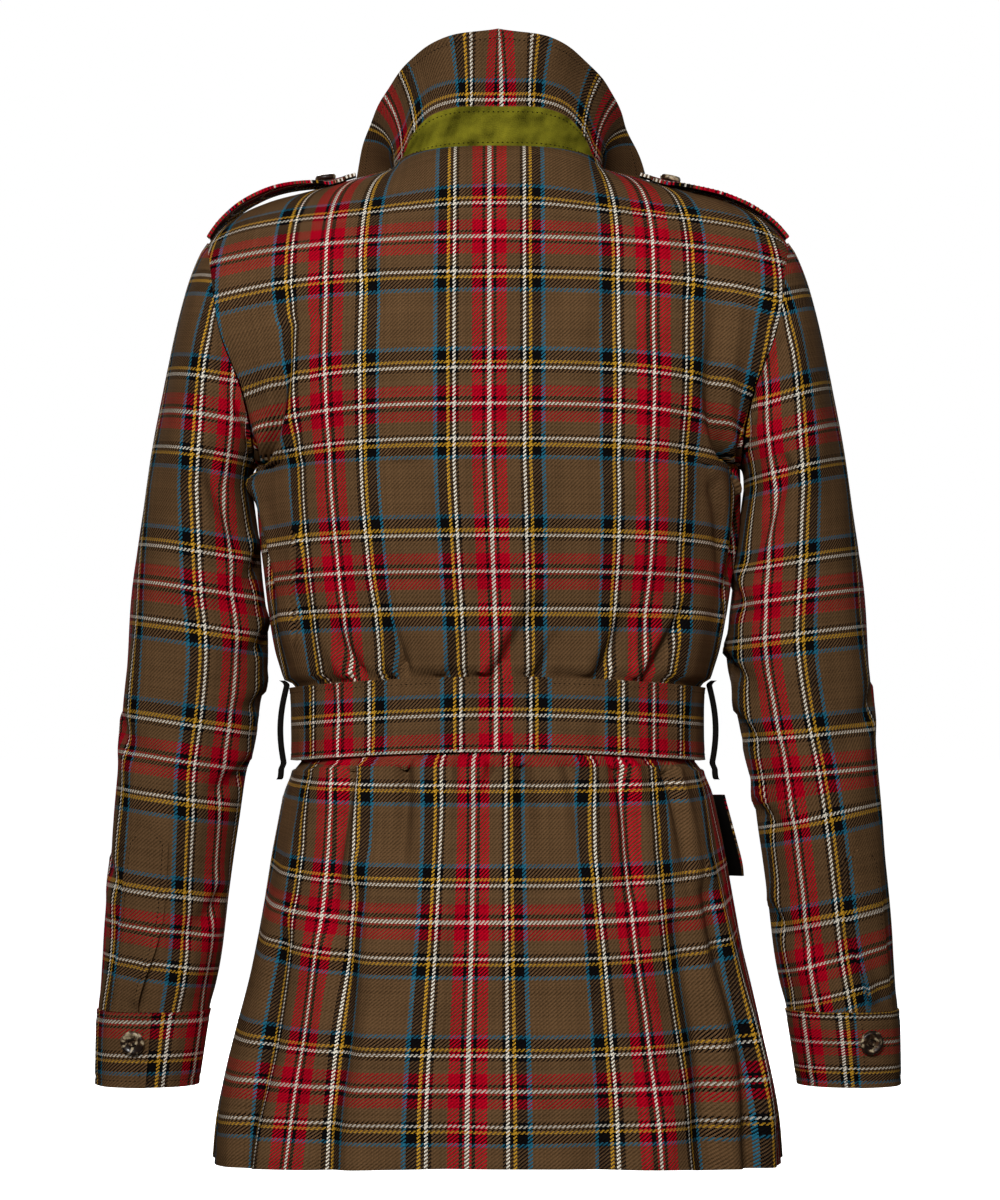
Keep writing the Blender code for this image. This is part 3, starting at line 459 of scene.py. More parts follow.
def fold_depth(angle, height):
    """Sum of the pressed folds at a place on the body."""
    total = np.zeros_like(angle + height)
    for row in BODY_FOLDS:
        fold = dict(zip(FOLD_COLUMNS, row))
        turn = (angle - fold["angle"] + 180) % 360 - 180
        fade = 1 - ease(np.abs(height - fold["height"]), 0, fold["reach"])
        total += fold["depth"] * near(turn, 0, fold["width"]) * fade
    return total


def pinch(angle, height):
    """How far the belt draws the body in, easing off under the buckle."""
    edge = BELT_WIDTH / 2 + 0.5
    inside = 1 - ease(np.abs(height - BELT_HEIGHT), edge, edge + BELT_LEDGE)
    front_turn = np.abs((angle % 360) - 180)
    return BELT_PINCH * inside * ease(front_turn, BUCKLE_RELIEF, 2.5 * BUCKLE_RELIEF)


def droop(angle, height):
    """Lifts belt and hem at the centre back, and lets the belt down at the sides and front."""
    turn = np.radians(angle)
    near_belt = 1 - ease(np.abs(height - BELT_HEIGHT), BELT_WIDTH / 2 + 4, BELT_DROOP_REACH)
    ahead = np.clip(-np.cos(turn), 0, 1)
    lowered = BELT_DROOP_SIDE * np.sin(turn) ** 2 + (BELT_DROOP_SIDE + BELT_DROOP_FRONT) * ahead**2
    near_hem = 1 - ease(height, HEM_HEIGHT, HEM_LIFT_FROM)
    return HEM_LIFT * np.clip(np.cos(turn), 0, 1) ** 2 * near_hem + (BELT_RISE - lowered) * near_belt


def chest_row(share, rise, front):
    """Reach and depth along one row of the chest, an arc of an oval that ends at the armhole."""
    rise = np.minimum(rise, 1 - HAIR)
    reach, edge_depth, _ = armhole(rise, front)
    chest = np.where(front, BODY_RINGS[0][3], BODY_RINGS[0][2])
    edge_row = np.minimum(edge_depth / round_off(rise, SHOULDER_SLOPE), DEEPEST_EDGE * chest)
    last = np.arccos(edge_row / chest)
    spread = np.sin(np.clip(share, -1, 1) * last) / np.sin(last)
    oval = round_off(edge_row / chest, RING_SQUARENESS)
    return reach * spread, chest * round_off(spread * oval, RING_SQUARENESS)


def torso(angle, level, folds=1.0):
    """Outer face of the body. Angle runs from the centre back, + to the wearer's left.

    Level is the share of the rise above the armpit, or hundreds of millimetres below it.
    """
    angle, level = np.broadcast_arrays(np.asarray(angle, float), np.asarray(level, float))
    side = np.where(angle < 0, -1.0, 1.0)
    turn = np.abs(angle)
    front = turn > 90
    share = np.where(front, (180 - turn) / 90, turn / 90)
    facing = np.where(front, -1.0, 1.0)

    row = ARMPIT_HEIGHT + LEVEL_STEP * np.minimum(level, 0)
    drawn = pinch(angle, row)
    width, back_depth, front_depth = [
        column(BODY_RINGS, BODY_COLUMNS, name, row) - drawn for name in BODY_COLUMNS[1:]]
    across = np.sin(np.radians(90 * share))
    depth = np.where(front, front_depth, back_depth) * round_off(across, RING_SQUARENESS)
    low = np.stack([width * across, depth, row + droop(angle, row)], -1)

    rise = np.clip(level, 0, 1)
    slope = CENTRE_SLOPE + (SHOULDER_SLOPE - CENTRE_SLOPE) * np.clip(np.abs(share), 0, 1)
    fall = round_off(rise, slope)
    reach, row_depth = chest_row(share, rise, front)
    top_reach, _ = chest_row(share, np.ones_like(rise), front)
    top = eased_top(share, rise, front)
    high = np.stack([
        reach + rise**3 * (top[..., 0] - top_reach),
        np.abs(top[..., 1]) * (1 - fall) + row_depth * fall,
        ARMPIT_HEIGHT + (top[..., 2] - ARMPIT_HEIGHT) * rise,
    ], -1)

    point = np.where((level > 0)[..., None], high, low)
    pressed = folds * fold_depth(angle, point[..., 2]) * (1 - pinch(angle, row) / BELT_PINCH)
    pressed = np.where(level > 0, 0, pressed)
    swell = 1 + pressed / np.maximum(np.hypot(point[..., 0], point[..., 1]), 1)
    point = point * np.stack([swell, swell, np.ones_like(swell)], -1)
    return point * np.stack([side, facing, np.ones_like(side)], -1)


def level_of(height):
    """The level of a height below the armpit."""
    return (np.asarray(height, float) - ARMPIT_HEIGHT) / LEVEL_STEP


def torso_normal(angle, level, folds=1.0):
    """Outward normal of the body, found without crossing the armhole or the top edge."""
    angle, level = np.broadcast_arrays(np.asarray(angle, float), np.asarray(level, float))
    high = level > 0
    turn = np.abs(angle)
    ahead = np.where(high & (turn <= 90) & (turn > 89), 0, NUDGE) * 60
    behind = np.where(high & (turn >= 90) & (turn < 91), 0, NUDGE) * 60
    flip = np.where(angle < 0, -1.0, 1.0)
    more = np.where(flip > 0, ahead, behind)
    less = np.where(flip > 0, behind, ahead)
    across = torso(angle + more, level, folds) - torso(angle - less, level, folds)
    up = torso(angle, np.minimum(level + NUDGE, 1), folds) - torso(angle, level - NUDGE, folds)
    normal = np.cross(up, across)
    return normal / np.linalg.norm(normal, axis=-1, keepdims=True)


def grid(first, second):
    """Two lists as a grid of rows (second) and columns (first)."""
    return np.meshgrid(np.asarray(first, float), np.asarray(second, float))


def draw_in(points):
    """Moves the border of a grid of points inwards, which leaves the gap of a seam."""
    points = points.copy()
    for lines in (points, points.swapaxes(0, 1)):
        for edge, inside in ((0, 1), (-1, -2)):
            step = lines[inside] - lines[edge]
            lines[edge] += step / np.linalg.norm(step, axis=-1, keepdims=True) * SEAM_GAP / 2
    return points


def straight(rows, names, name, at):
    """A table's column read in straight steps at values of its first column."""
    table = np.array(sorted(rows), float)
    return np.interp(at, table[:, 0], table[:, names.index(name)])


def ripples(across, height):
    """Faint waves all over the cloth, in millimetres, so that no part of it lies quite flat."""
    waves = 0.5 * np.sin(across / 17.0 + height / 61.0) + 0.4 * np.sin(height / 23.0 - across / 37.0)
    waves += 0.8 * np.sin(across / 9.0 + 1.8 * np.sin(height / 37.0)) * np.sin(height / 45.0 + across / 60.0)
    return waves


def creased(turn, height, degree, rows):
    """Depth of the listed creases: each a trough with a soft ridge beside it, a little wavy."""
    across = turn * degree + 3.0 * np.sin(height / 27.0)
    up = height + 2.0 * np.sin(turn * degree / 21.0)
    total = ripples(across, height)
    ridge_depth, ridge_place, ridge_reach = CREASE_RIDGE
    for row in rows:
        crease = dict(zip(CREASE_COLUMNS, row))
        start = np.array([crease["from_turn"] * degree, crease["from_height"]])
        run = np.array([crease["to_turn"] * degree, crease["to_height"]]) - start
        length = np.hypot(*run)
        run /= length
        off = (across - start[0], up - start[1])
        along = np.clip((off[0] * run[0] + off[1] * run[1]) / length, 0, 1)
        apart = np.hypot(off[0] - along * length * run[0], off[1] - along * length * run[1])
        aside = apart * np.sign(off[0] * run[1] - off[1] * run[0]) / crease["width"]
        depth = crease["start_depth"] + (crease["end_depth"] - crease["start_depth"]) * along
        total = total + depth * (near(aside, 0, 1) - ridge_depth * near(aside, ridge_place, ridge_reach))
    return total


def walked(points, axis):
    """Distance covered along the rows or columns of a grid of points."""
    steps = np.linalg.norm(np.diff(points, axis=axis), axis=-1)
    start = np.zeros_like(np.take(steps, [0], axis=axis))
    return np.concatenate([start, np.cumsum(steps, axis=axis)], axis=axis)


def placed(name, data):
    """A new object in the scene."""
    made = bpy.data.objects.new(name, data)
    bpy.context.scene.collection.objects.link(made)
    return made


def new_piece(name, points, faces, materials, sharp=None):
    """A smooth object of points in millimetres, with its sharp edges from an angle in degrees, if any."""
    mesh = bpy.data.meshes.new(name)
    mesh.from_pydata((np.array(points) * MM).tolist(), [], faces)
    for material in materials:
        mesh.materials.append(material)
    mesh.shade_smooth()
    if sharp:
        mesh.set_sharp_from_angle(angle=np.radians(sharp))
    return placed(name, mesh)


def wall(name, outer, inner, lines, inside_out=False, material=wool):
    """A closed cloth wall between two grids of points, with its threads' places as its map."""
    rows, columns = outer.shape[:2]
    number = np.arange(rows * columns).reshape(rows, columns)
    under = number + rows * columns
    quads = []
    for face, flip in ((number, False), (under, True)):
        ring = [face[:-1, :-1], face[:-1, 1:], face[1:, 1:], face[1:, :-1]]
        quads.append(np.stack(ring[::-1] if flip else ring, -1).reshape(-1, 4))
    edges = ((np.s_[0, :], True), (np.s_[-1, :], False), (np.s_[:, 0], False), (np.s_[:, -1], True))
    for edge, facing in edges:
        top, low = number[edge], under[edge]
        ring = [top[:-1], low[:-1], low[1:], top[1:]]
        quads.append(np.stack(ring if facing else ring[::-1], -1))
    quads = np.concatenate(quads)
    points = np.concatenate([outer.reshape(-1, 3), inner.reshape(-1, 3)])
    piece = new_piece(name, points, quads.tolist(), [material], sharp=60)
    places = np.concatenate([lines.reshape(-1, 2)] * 2)[quads.ravel()].astype(np.float32)
    piece.data.uv_layers.new(name="cloth").uv.foreach_set("vector", places.ravel())
    if inside_out:
        piece.data.flip_normals()
    return piece


def fit(piece, node):
    """Hangs a piece on the jacket's root and hides the CAD part of its node."""
    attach(piece, "root")
    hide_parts(node)


def panel_grid(angles):
    rises = (1 + np.cos(np.linspace(0, np.pi, PANEL_RISES))) / 2
    heights = np.linspace(ARMPIT_HEIGHT - 2.5, HEM_HEIGHT, PANEL_HEIGHTS)
    return grid(angles, np.concatenate([rises, level_of(heights)]))


def panel_walls(angle, level, creases, lap=0.0):
    """Outer and inner face of a body panel, creased, and pulled in at its seams."""
    normal = torso_normal(angle, level)
    smooth = torso(angle, level)
    height = smooth[..., 2]
    clear = 1 - pinch(angle, np.where(level > 0, 0, ARMPIT_HEIGHT + LEVEL_STEP * level)) / BELT_PINCH
    side = np.abs(np.abs(angle) - SIDE_SEAM) * BODY_DEGREE
    top = np.clip(1 - level, 0, 1) * np.abs(ARMPIT_HEIGHT) / 3
    held = 1 - ease(level, *CREASES_END)
    turn = np.abs(angle) if creases is FRONT_CREASES else angle
    depth = creased(turn, height, BODY_DEGREE, creases) * clear * held * ease(side, 0, SEAM_HOLD)
    depth -= SEAM_DIP * (near(side, 0, SEAM_DIP_REACH) + near(top, 0, SEAM_DIP_REACH))
    place, reach, drawn = BELOW_BELT
    depth -= drawn * near(height, place, reach) * np.sin(np.radians(angle)) ** 2
    sunk = lap * ease(np.abs(angle), LAP_START, LAP_FULL)
    outer = smooth + normal * (depth - sunk)[..., None]
    inner = outer - normal * CLOTH
    return draw_in(outer), draw_in(inner)


def back_lines(angle, outer):
    """Places across the warp and the weft on the back, where stripes sag a little towards the armholes."""
    centre = angle.shape[1] // 2
    round_body = walked(outer * LEVEL_ONLY, 1)
    round_body -= round_body[:, [centre]]
    round_body[PANEL_RISES:] = round_body[PANEL_RISES - 1]
    height = outer[..., 2]
    round_body *= straight(GATHER, GATHER_COLUMNS, "share", height)
    shift = straight(BACK_SHIFT, BACK_SHIFT_COLUMNS, "shift", height)
    sag = straight(BACK_BEND, BEND_COLUMNS, "bend", height) * (np.abs(angle) / SIDE_SEAM) ** 3
    level_height = height + sag
    down = straight(BACK_BEND, BEND_COLUMNS, "down", level_height)
    first = BACK_BEND[-1][0]
    path = walked(outer, 0)
    for j in range(angle.shape[1]):
        crossing = np.interp(-first, -level_height[:, j], path[:, j])
        above = level_height[:, j] > first
        down[above, j] = path[above, j] - crossing
    return np.stack([-(round_body - shift) * WARP_EASE, down], -1)


def front_lines(angle, outer, side):
    """Places across the warp and the weft on a front, from the centre front."""
    start, white, stretch = FRONT_LINES
    gone = walked(outer * LEVEL_ONLY, 1)
    turns = -side * np.abs(angle)
    centre = np.array([[np.interp(-side * 180, turns[i], gone[i])] for i in range(len(gone))])
    return np.stack([gone - centre - side * start, (white - outer[..., 2]) * stretch], -1)


angle, level = panel_grid(np.linspace(HAIR - SIDE_SEAM, SIDE_SEAM - HAIR, BACK_COLUMNS))
outer, inner = panel_walls(angle, level, BACK_CREASES)
back = wall("back_cloth", outer, inner, back_lines(angle, outer))
fit(back, "back")
front_angles = np.linspace(180 + FRONT_OVERLAP, SIDE_SEAM + HAIR, FRONT_COLUMNS)
for side_name, side, angles, lap in (
        ("left", 1, front_angles, CLOTH + LAYER_GAP), ("right", -1, -front_angles[::-1], 0.0)):
    angle, level = panel_grid(angles)
    outer, inner = panel_walls(angle, level, FRONT_CREASES, lap)
    piece = wall(f"front_{side_name}_cloth", outer, inner, front_lines(angle, outer, side))
    fit(piece, f"front_{side_name}")


# Sleeves: one-piece set-in sleeves of the same wool, eased into the armholes, with soft creases at the
# inner elbow. Their check runs down the arm and tilts a little towards the body.

SLEEVE_COLUMNS = ("height", "centre_x", "half_width", "centre_y", "half_depth")
SLEEVE_SECTIONS = (
    (-250, 214.5, 37.7, 0, 72),
    (-300, 215.2, 44.7, -1, 68),
    (-365, 215.7, 50.5, -3, 62),
    (-408, 221, 49.5, -6, 59),
    (-451, 228, 46.5, -9, 57),
    (-495, 234, 45.0, -13, 54),
    (-538, 239, 44.0, -18, 51),
    (-581, 243.5, 43.0, -24, 48),
    (-625, 250, 40.3, -30, 45),
    (-680, 255.5, 36.8, -37, 41),
)
SLEEVE_START = -250.0
SLEEVE_END = -625.0
CAP_OUT = (8.0, 62.0)  # push out of the armhole at the underarm, and how much more at the top
CAP_FALL = 120.0
CAP_LAND = (15.0, 175.0)
CAP_SPREAD = 30.0
SLEEVE_AROUND = 109
SLEEVE_CAP_ROWS = 40
SLEEVE_ROWS = 110
SLEEVE_DEGREE = 0.93  # millimetres round the sleeve to a degree
SLEEVE_SEAM = 188.0  # where the seam along the inner arm lies
SLEEVE_SEAM_DIP = 0.7
SLEEVE_SEAM_REACH = 2.0
HEAD_SEAM_REACH = 0.035  # share of the sleeve head that its own seam draws in
HEAD_EASE = (0.05, 0.5)  # share of the head over which the creases set in
CUFF_EASE = 18.0  # height above the cuff over which they do
SIDES = {"left": 1, "right": -1}
SLEEVE_CREASES = {
    "left": (
        (100, -235, 140, -290, 8, -4.5, -1.4),
        (168, -300, 120, -330, 8, -4.5, -0.7),
        (172, -352, 125, -372, 7, -5.2, -0.7),
        (178, -398, 130, -410, 7, -5.2, -0.7),
        (20, -420, 70, -445, 9, -3.8, -0.7),
        (165, -450, 120, -475, 8, -4.5, -0.7),
        (15, -520, 60, -540, 9, -3.0, -0.7),
        (150, -545, 110, -575, 8, -3.8, -0.7),
        (215, -380, 260, -400, 9, -5.2, -0.7),
        (205, -430, 250, -455, 8, -4.5, -0.7),
        (300, -500, 265, -520, 9, -3.0, -0.7),
        (220, -560, 262, -585, 8, -3.8, -0.7),
        (250, -235, 215, -290, 8, -4.5, -1.4),
    ),
    "right": (
        (104, -238, 145, -300, 8, -5.2, -1.4),
        (172, -322, 118, -345, 8, -5.2, -0.7),
        (176, -372, 128, -392, 7, -6.0, -0.7),
        (170, -415, 124, -440, 8, -4.5, -0.7),
        (18, -400, 66, -430, 9, -3.8, -0.7),
        (168, -480, 118, -500, 8, -4.5, -0.7),
        (160, -555, 112, -580, 8, -3.8, -0.7),
        (210, -370, 258, -395, 9, -5.2, -0.7),
        (206, -440, 252, -460, 8, -4.5, -0.7),
        (225, -545, 266, -570, 8, -3.8, -0.7),
        (252, -238, 212, -295, 8, -4.5, -1.4),
    ),
}
PLUMB = 0.65  # how far the warp hangs plumb on the sleeve head
ARMHOLE_SINK = (5.5, 0.12, 0.1, 105.0, 36.0)  # depth, place and reach down the head, place and reach round it
SLEEVE_LINE_COLUMNS = ("height", "red_turn", "tilt", "down")
SLEEVE_LINES = {
    "left": (
        (7, 126, 0.16, -193), (-60, 126, 0.16, -127), (-193, 126, 0.15, 0), (-321, 124, 0.142, 127),
        (-449, 134, 0.142, 254), (-476, 139, 0.142, 280.7), (-550.4, 148, 0.14, 354.7),
        (-576, 150, 0.14, 381.4), (-601, 152, 0.14, 408), (-680, 155, 0.14, 487)),
    "right": (
        (10, 124, 0.3, -203), (-66, 124, 0.3, -127), (-201.5, 123, 0.28, 0), (-327, 121, 0.13, 127),
        (-461, 120, 0.08, 254), (-486.4, 120, 0.2, 280.7), (-567, 120, 0.22, 354.7),
        (-592.6, 120, 0.26, 381.4), (-616, 120, 0.26, 408), (-680, 120, 0.26, 472)),
}


def sleeve(alpha, drop):
    """Outer face of the left sleeve. Alpha runs from its outer edge towards the back.

    Drop is a share of the way down the sleeve head from 0 to 1, or a height once it is below.
    """
    alpha, drop = np.broadcast_arrays(np.asarray(alpha, float), np.asarray(drop, float))
    turn = np.radians(alpha)
    front = np.sin(turn) < 0
    rise = (1 + np.cos(turn)) / 2
    reach, depth, height = armhole(rise, front)
    seam = np.stack([reach + SEAM_GAP, np.where(front, -depth, depth), height], -1)

    row = np.where(drop < 0, np.minimum(drop, SLEEVE_START), SLEEVE_START)
    parts = {name: column(SLEEVE_SECTIONS, SLEEVE_COLUMNS, name, row) for name in SLEEVE_COLUMNS[1:]}
    section = np.stack([
        parts["centre_x"] + parts["half_width"] * np.cos(turn),
        parts["centre_y"] + parts["half_depth"] * np.sin(turn),
        row,
    ], -1)
    nothing = np.zeros_like(rise)
    leave = np.stack([CAP_OUT[0] + CAP_OUT[1] * rise, nothing, -CAP_FALL * rise**1.2], -1)
    arrive = np.stack([CAP_SPREAD * rise, nothing, -CAP_LAND[0] - CAP_LAND[1] * rise], -1)
    t = np.clip(drop, 0, 1)[..., None]
    cap = (seam * (1 + 2 * t) * (1 - t) ** 2 + leave * t * (1 - t) ** 2
           + section * (3 - 2 * t) * t**2 - arrive * (1 - t) * t**2)
    return np.where((drop < 0)[..., None], section, cap)


def sleeve_normal(alpha, drop):
    """Outward normal of the left sleeve."""
    alpha, drop = np.broadcast_arrays(np.asarray(alpha, float), np.asarray(drop, float))
    below = drop < 0
    lower = np.where(below, drop - 0.5, np.minimum(drop + NUDGE, 1))
    upper = np.where(below, np.minimum(drop + 0.5, SLEEVE_START), np.maximum(drop - NUDGE, 0))
    around = sleeve(alpha + NUDGE * 60, drop) - sleeve(alpha - NUDGE * 60, drop)
    normal = np.cross(sleeve(alpha, lower) - sleeve(alpha, upper), around)
    return normal / np.linalg.norm(normal, axis=-1, keepdims=True)


def mirrored(side, *grids):
    """Grids of points of the left side, or their mirror images for the right."""
    return [points * np.array([side, 1, 1]) for points in grids]


def sleeve_lines(side_name, alpha, outer, cap_rows=0):
    """Places across the warp and the weft on a sleeve. The rows of its head follow the row below them."""
    rows = SLEEVE_LINES[side_name]
    outermost = outer[..., 0].max(axis=1, keepdims=True)
    outermost[:cap_rows] = outermost[cap_rows]
    tilt = straight(rows, SLEEVE_LINE_COLUMNS, "tilt", outer[..., 2])
    height = outer[..., 2] + tilt * (outermost - outer[..., 0])
    down = straight(rows, SLEEVE_LINE_COLUMNS, "down", height)
    red = straight(rows, SLEEVE_LINE_COLUMNS, "red_turn", height)
    around = walked(outer * LEVEL_ONLY, 1)
    around[:cap_rows] = around[cap_rows]
    reds = np.array([np.interp(red[i], alpha[i], around[i]) for i in range(len(around))])
    halves = (alpha[0] >= 0, alpha[0] < 0) if cap_rows else ()
    for half in halves:
        reach = outer[cap_rows, half, 0]
        order = np.argsort(reach)
        plumb = np.interp(outer[:cap_rows, half, 0], reach[order], around[cap_rows, half][order])
        share = PLUMB * np.sin(np.radians(alpha[:cap_rows, half])) ** 2
        around[:cap_rows, half] += (plumb - around[:cap_rows, half]) * share
    return np.stack([SIDES[side_name] * (around - reds), down], -1)


for side_name, side in SIDES.items():
    head_rows = np.linspace(0, 0.985, SLEEVE_CAP_ROWS)
    arm_rows = np.linspace(SLEEVE_START, SLEEVE_END, SLEEVE_ROWS)
    alpha, drop = grid(np.linspace(SLEEVE_SEAM - 360, SLEEVE_SEAM, SLEEVE_AROUND), [*head_rows, *arm_rows])
    smooth = sleeve(alpha, drop)
    normal = sleeve_normal(alpha, drop)
    head = np.where(drop < 0, 1, drop)
    depth = creased(alpha % 360, smooth[..., 2], SLEEVE_DEGREE, SLEEVE_CREASES[side_name])
    depth *= ease(head, *HEAD_EASE) * ease(smooth[..., 2] - SLEEVE_END, 0, CUFF_EASE)
    sunk, down, down_reach, turn, turn_reach = ARMHOLE_SINK
    depth -= sunk * near(head, down, down_reach) * near(np.abs(alpha), turn, turn_reach)
    depth -= SEAM_DIP * near(head, 0, HEAD_SEAM_REACH)
    from_seam = np.abs(alpha + 180 - SLEEVE_SEAM) - 180
    depth -= SLEEVE_SEAM_DIP * near(from_seam * SLEEVE_DEGREE, 0, SLEEVE_SEAM_REACH)
    outer = smooth + normal * depth[..., None]
    inner = outer - normal * CLOTH
    lines = sleeve_lines(side_name, alpha, smooth, SLEEVE_CAP_ROWS)
    piece = wall(f"sleeve_{side_name}_cloth", *mirrored(side, outer, inner), lines, side < 0)
    fit(piece, f"sleeve_{side_name}")


# Cuffs and gauntlet plackets: a doubled band round each wrist, buttoned with its ends lapped, and a
# pointed placket sewn over the slit above it. Both are edge-stitched in brown thread.

CUFF_CLOTH = 2.2
CUFF_END = -680.0
CUFF_PROUD = 1.2
CUFF_LAP = 30.0  # degrees by which its outer end laps over the inner one
CUFF_RAMP = (2.4, 1.3)  # where it rises to do so, in laps before its outer end
CUFF_TURNS = {"left": (93.0, 69.0), "right": (84.0, 58.0)}  # of a cuff's outer end and a placket's middle
PLACKET_COLUMNS = ("height", "half_width")
PLACKET = ((-496, 2.5), (-501, 9.5), (-507, 16.5), (-530, 17), (-560, 17), (-592, 17), (-624.6, 17))
CUFF_COLUMNS = 170
CUFF_ROWS = 22
CUFF_LINE_COLUMNS = ("along", "warp_share", "height", "stretch")  # along and down to white lines in red
CUFF_LINES = {"left": (224.0, 0.83, -632.0, 1.04), "right": (228.0, 0.84, -647.0, 1.36)}
PLACKET_ROWS = 60
PLACKET_ACROSS = 21
PLACKET_RAISE = {"left": 4.0, "right": -10.0}  # how much higher its point is than the pattern's
PLACKET_SPREAD = 1.25  # how much wider it is behind its point than before it
PLACKET_FLARE = (-545.0, -625.0, 13.0, 4.6)  # heights between which its free edge opens, how far back and out
PLACKET_GAP = 1.1
STITCH = (2.5, 0.5, 0.36, 3.5)  # length, half width and height of a stitch, and its pitch
STITCH_SUNK = 0.1  # how far its two ends go into the cloth
STITCH_FACES = ((0, 1, 2), (0, 2, 3), (4, 2, 1), (4, 3, 2), (0, 3, 4, 1))
THREAD_BROWN = (36, 27, 19)
STITCH_INSET = 4.0
WIDE_STITCH_INSET = 5.0
PLACKET_BAR_HEIGHTS = (-531, -539)


def shades(dye, *strengths):
    """A dye's colour made darker or lighter."""
    return [(*(np.array(dyed(*dye)[:3]) * strength), 1.0) for strength in strengths]


def stitch_thread(name, dye):
    """A soft waxed thread, darker and lighter along its twist."""
    material, wire, shader = new_material(name, 0.7)
    place = wire.node("ShaderNodeTexCoord", {}, {}, 3)
    twist = noise(wire, place, 900.0)
    feed(blend(twist, *shades(dye, 0.6, 1.3)), shader, "Base Color")
    return material


brown_thread = stitch_thread("brown_thread", THREAD_BROWN)


def stitch_rows(name, rows, material):
    """Rows of separate stitches lying on the cloth, each row a path and the way the cloth faces there."""
    length, half_width, tall, pitch = STITCH
    points, faces = [], []
    for path, facing in rows:
        gone = walked(path, 0)
        starts = np.arange(pitch / 2, gone[-1] - pitch / 2, pitch)
        for start in starts:
            first, last = [along_path(at, gone, path) for at in (start, start + length)]
            up = along_path(start, gone, facing)
            up /= np.linalg.norm(up)
            aside = np.cross(last - first, up)
            aside *= half_width / np.linalg.norm(aside)
            middle = (first + last) / 2
            count = len(points)
            into = up * STITCH_SUNK
            points += [first - into, middle - aside, middle + up * tall, middle + aside, last - into]
            faces += [[count + k for k in ring] for ring in STITCH_FACES]
    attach(new_piece(name, points, faces, [material]), "root")


def along_path(at, gone, values):
    """A path's points or normals, read at a distance along it."""
    return np.array([np.interp(at, gone, values[:, axis]) for axis in range(3)])


def grid_normal(points):
    """Normals of a grid of points, from its own neighbours."""
    normal = np.cross(np.gradient(points, axis=1), np.gradient(points, axis=0))
    return normal / np.linalg.norm(normal, axis=-1, keepdims=True)


def outline(points, facing, inset, edges="ulrb"):
    """Paths set in from the edges of a grid of points: u its first row, b its last, l and r its sides."""
    down, across = walked(points, 0)[:, points.shape[1] // 2], walked(points, 1)[points.shape[0] // 2]
    rows = []
    low, high = inset / down[-1], 1 - inset / down[-1]
    left, right = inset / across[-1], 1 - inset / across[-1]
    for edge, fixed, is_row in (("u", low, True), ("b", high, True), ("l", left, False), ("r", right, False)):
        if edge in edges:
            rows.append(cut_line(points, facing, fixed, is_row, (left, right) if is_row else (low, high)))
    return rows


def cut_line(points, facing, share, is_row, between):
    """A line across a grid of points at a share of its rows or columns, between two shares of the other."""
    if not is_row:
        points, facing = points.swapaxes(0, 1), facing.swapaxes(0, 1)
    at = share * (points.shape[0] - 1)
    i = int(min(at, points.shape[0] - 2))
    part = at - i
    first, last = [int(round(value * (points.shape[1] - 1))) for value in between]
    cut = np.s_[first:last + 1]
    return (points[i, cut] * (1 - part) + points[i + 1, cut] * part,
            facing[i, cut] * (1 - part) + facing[i + 1, cut] * part)


def placket_lines(side_name, alpha, drop):
    """The sleeve's own lines under a placket, which is cut to match them."""
    around, heights = grid(np.linspace(0, 180, 181), drop[:, 0])
    lines = sleeve_lines(side_name, around, sleeve(around, heights))
    matched = [[np.interp(alpha[i], around[i], lines[i, :, k]) for k in (0, 1)] for i in range(len(alpha))]
    return np.moveaxis(np.array(matched), 1, 2)


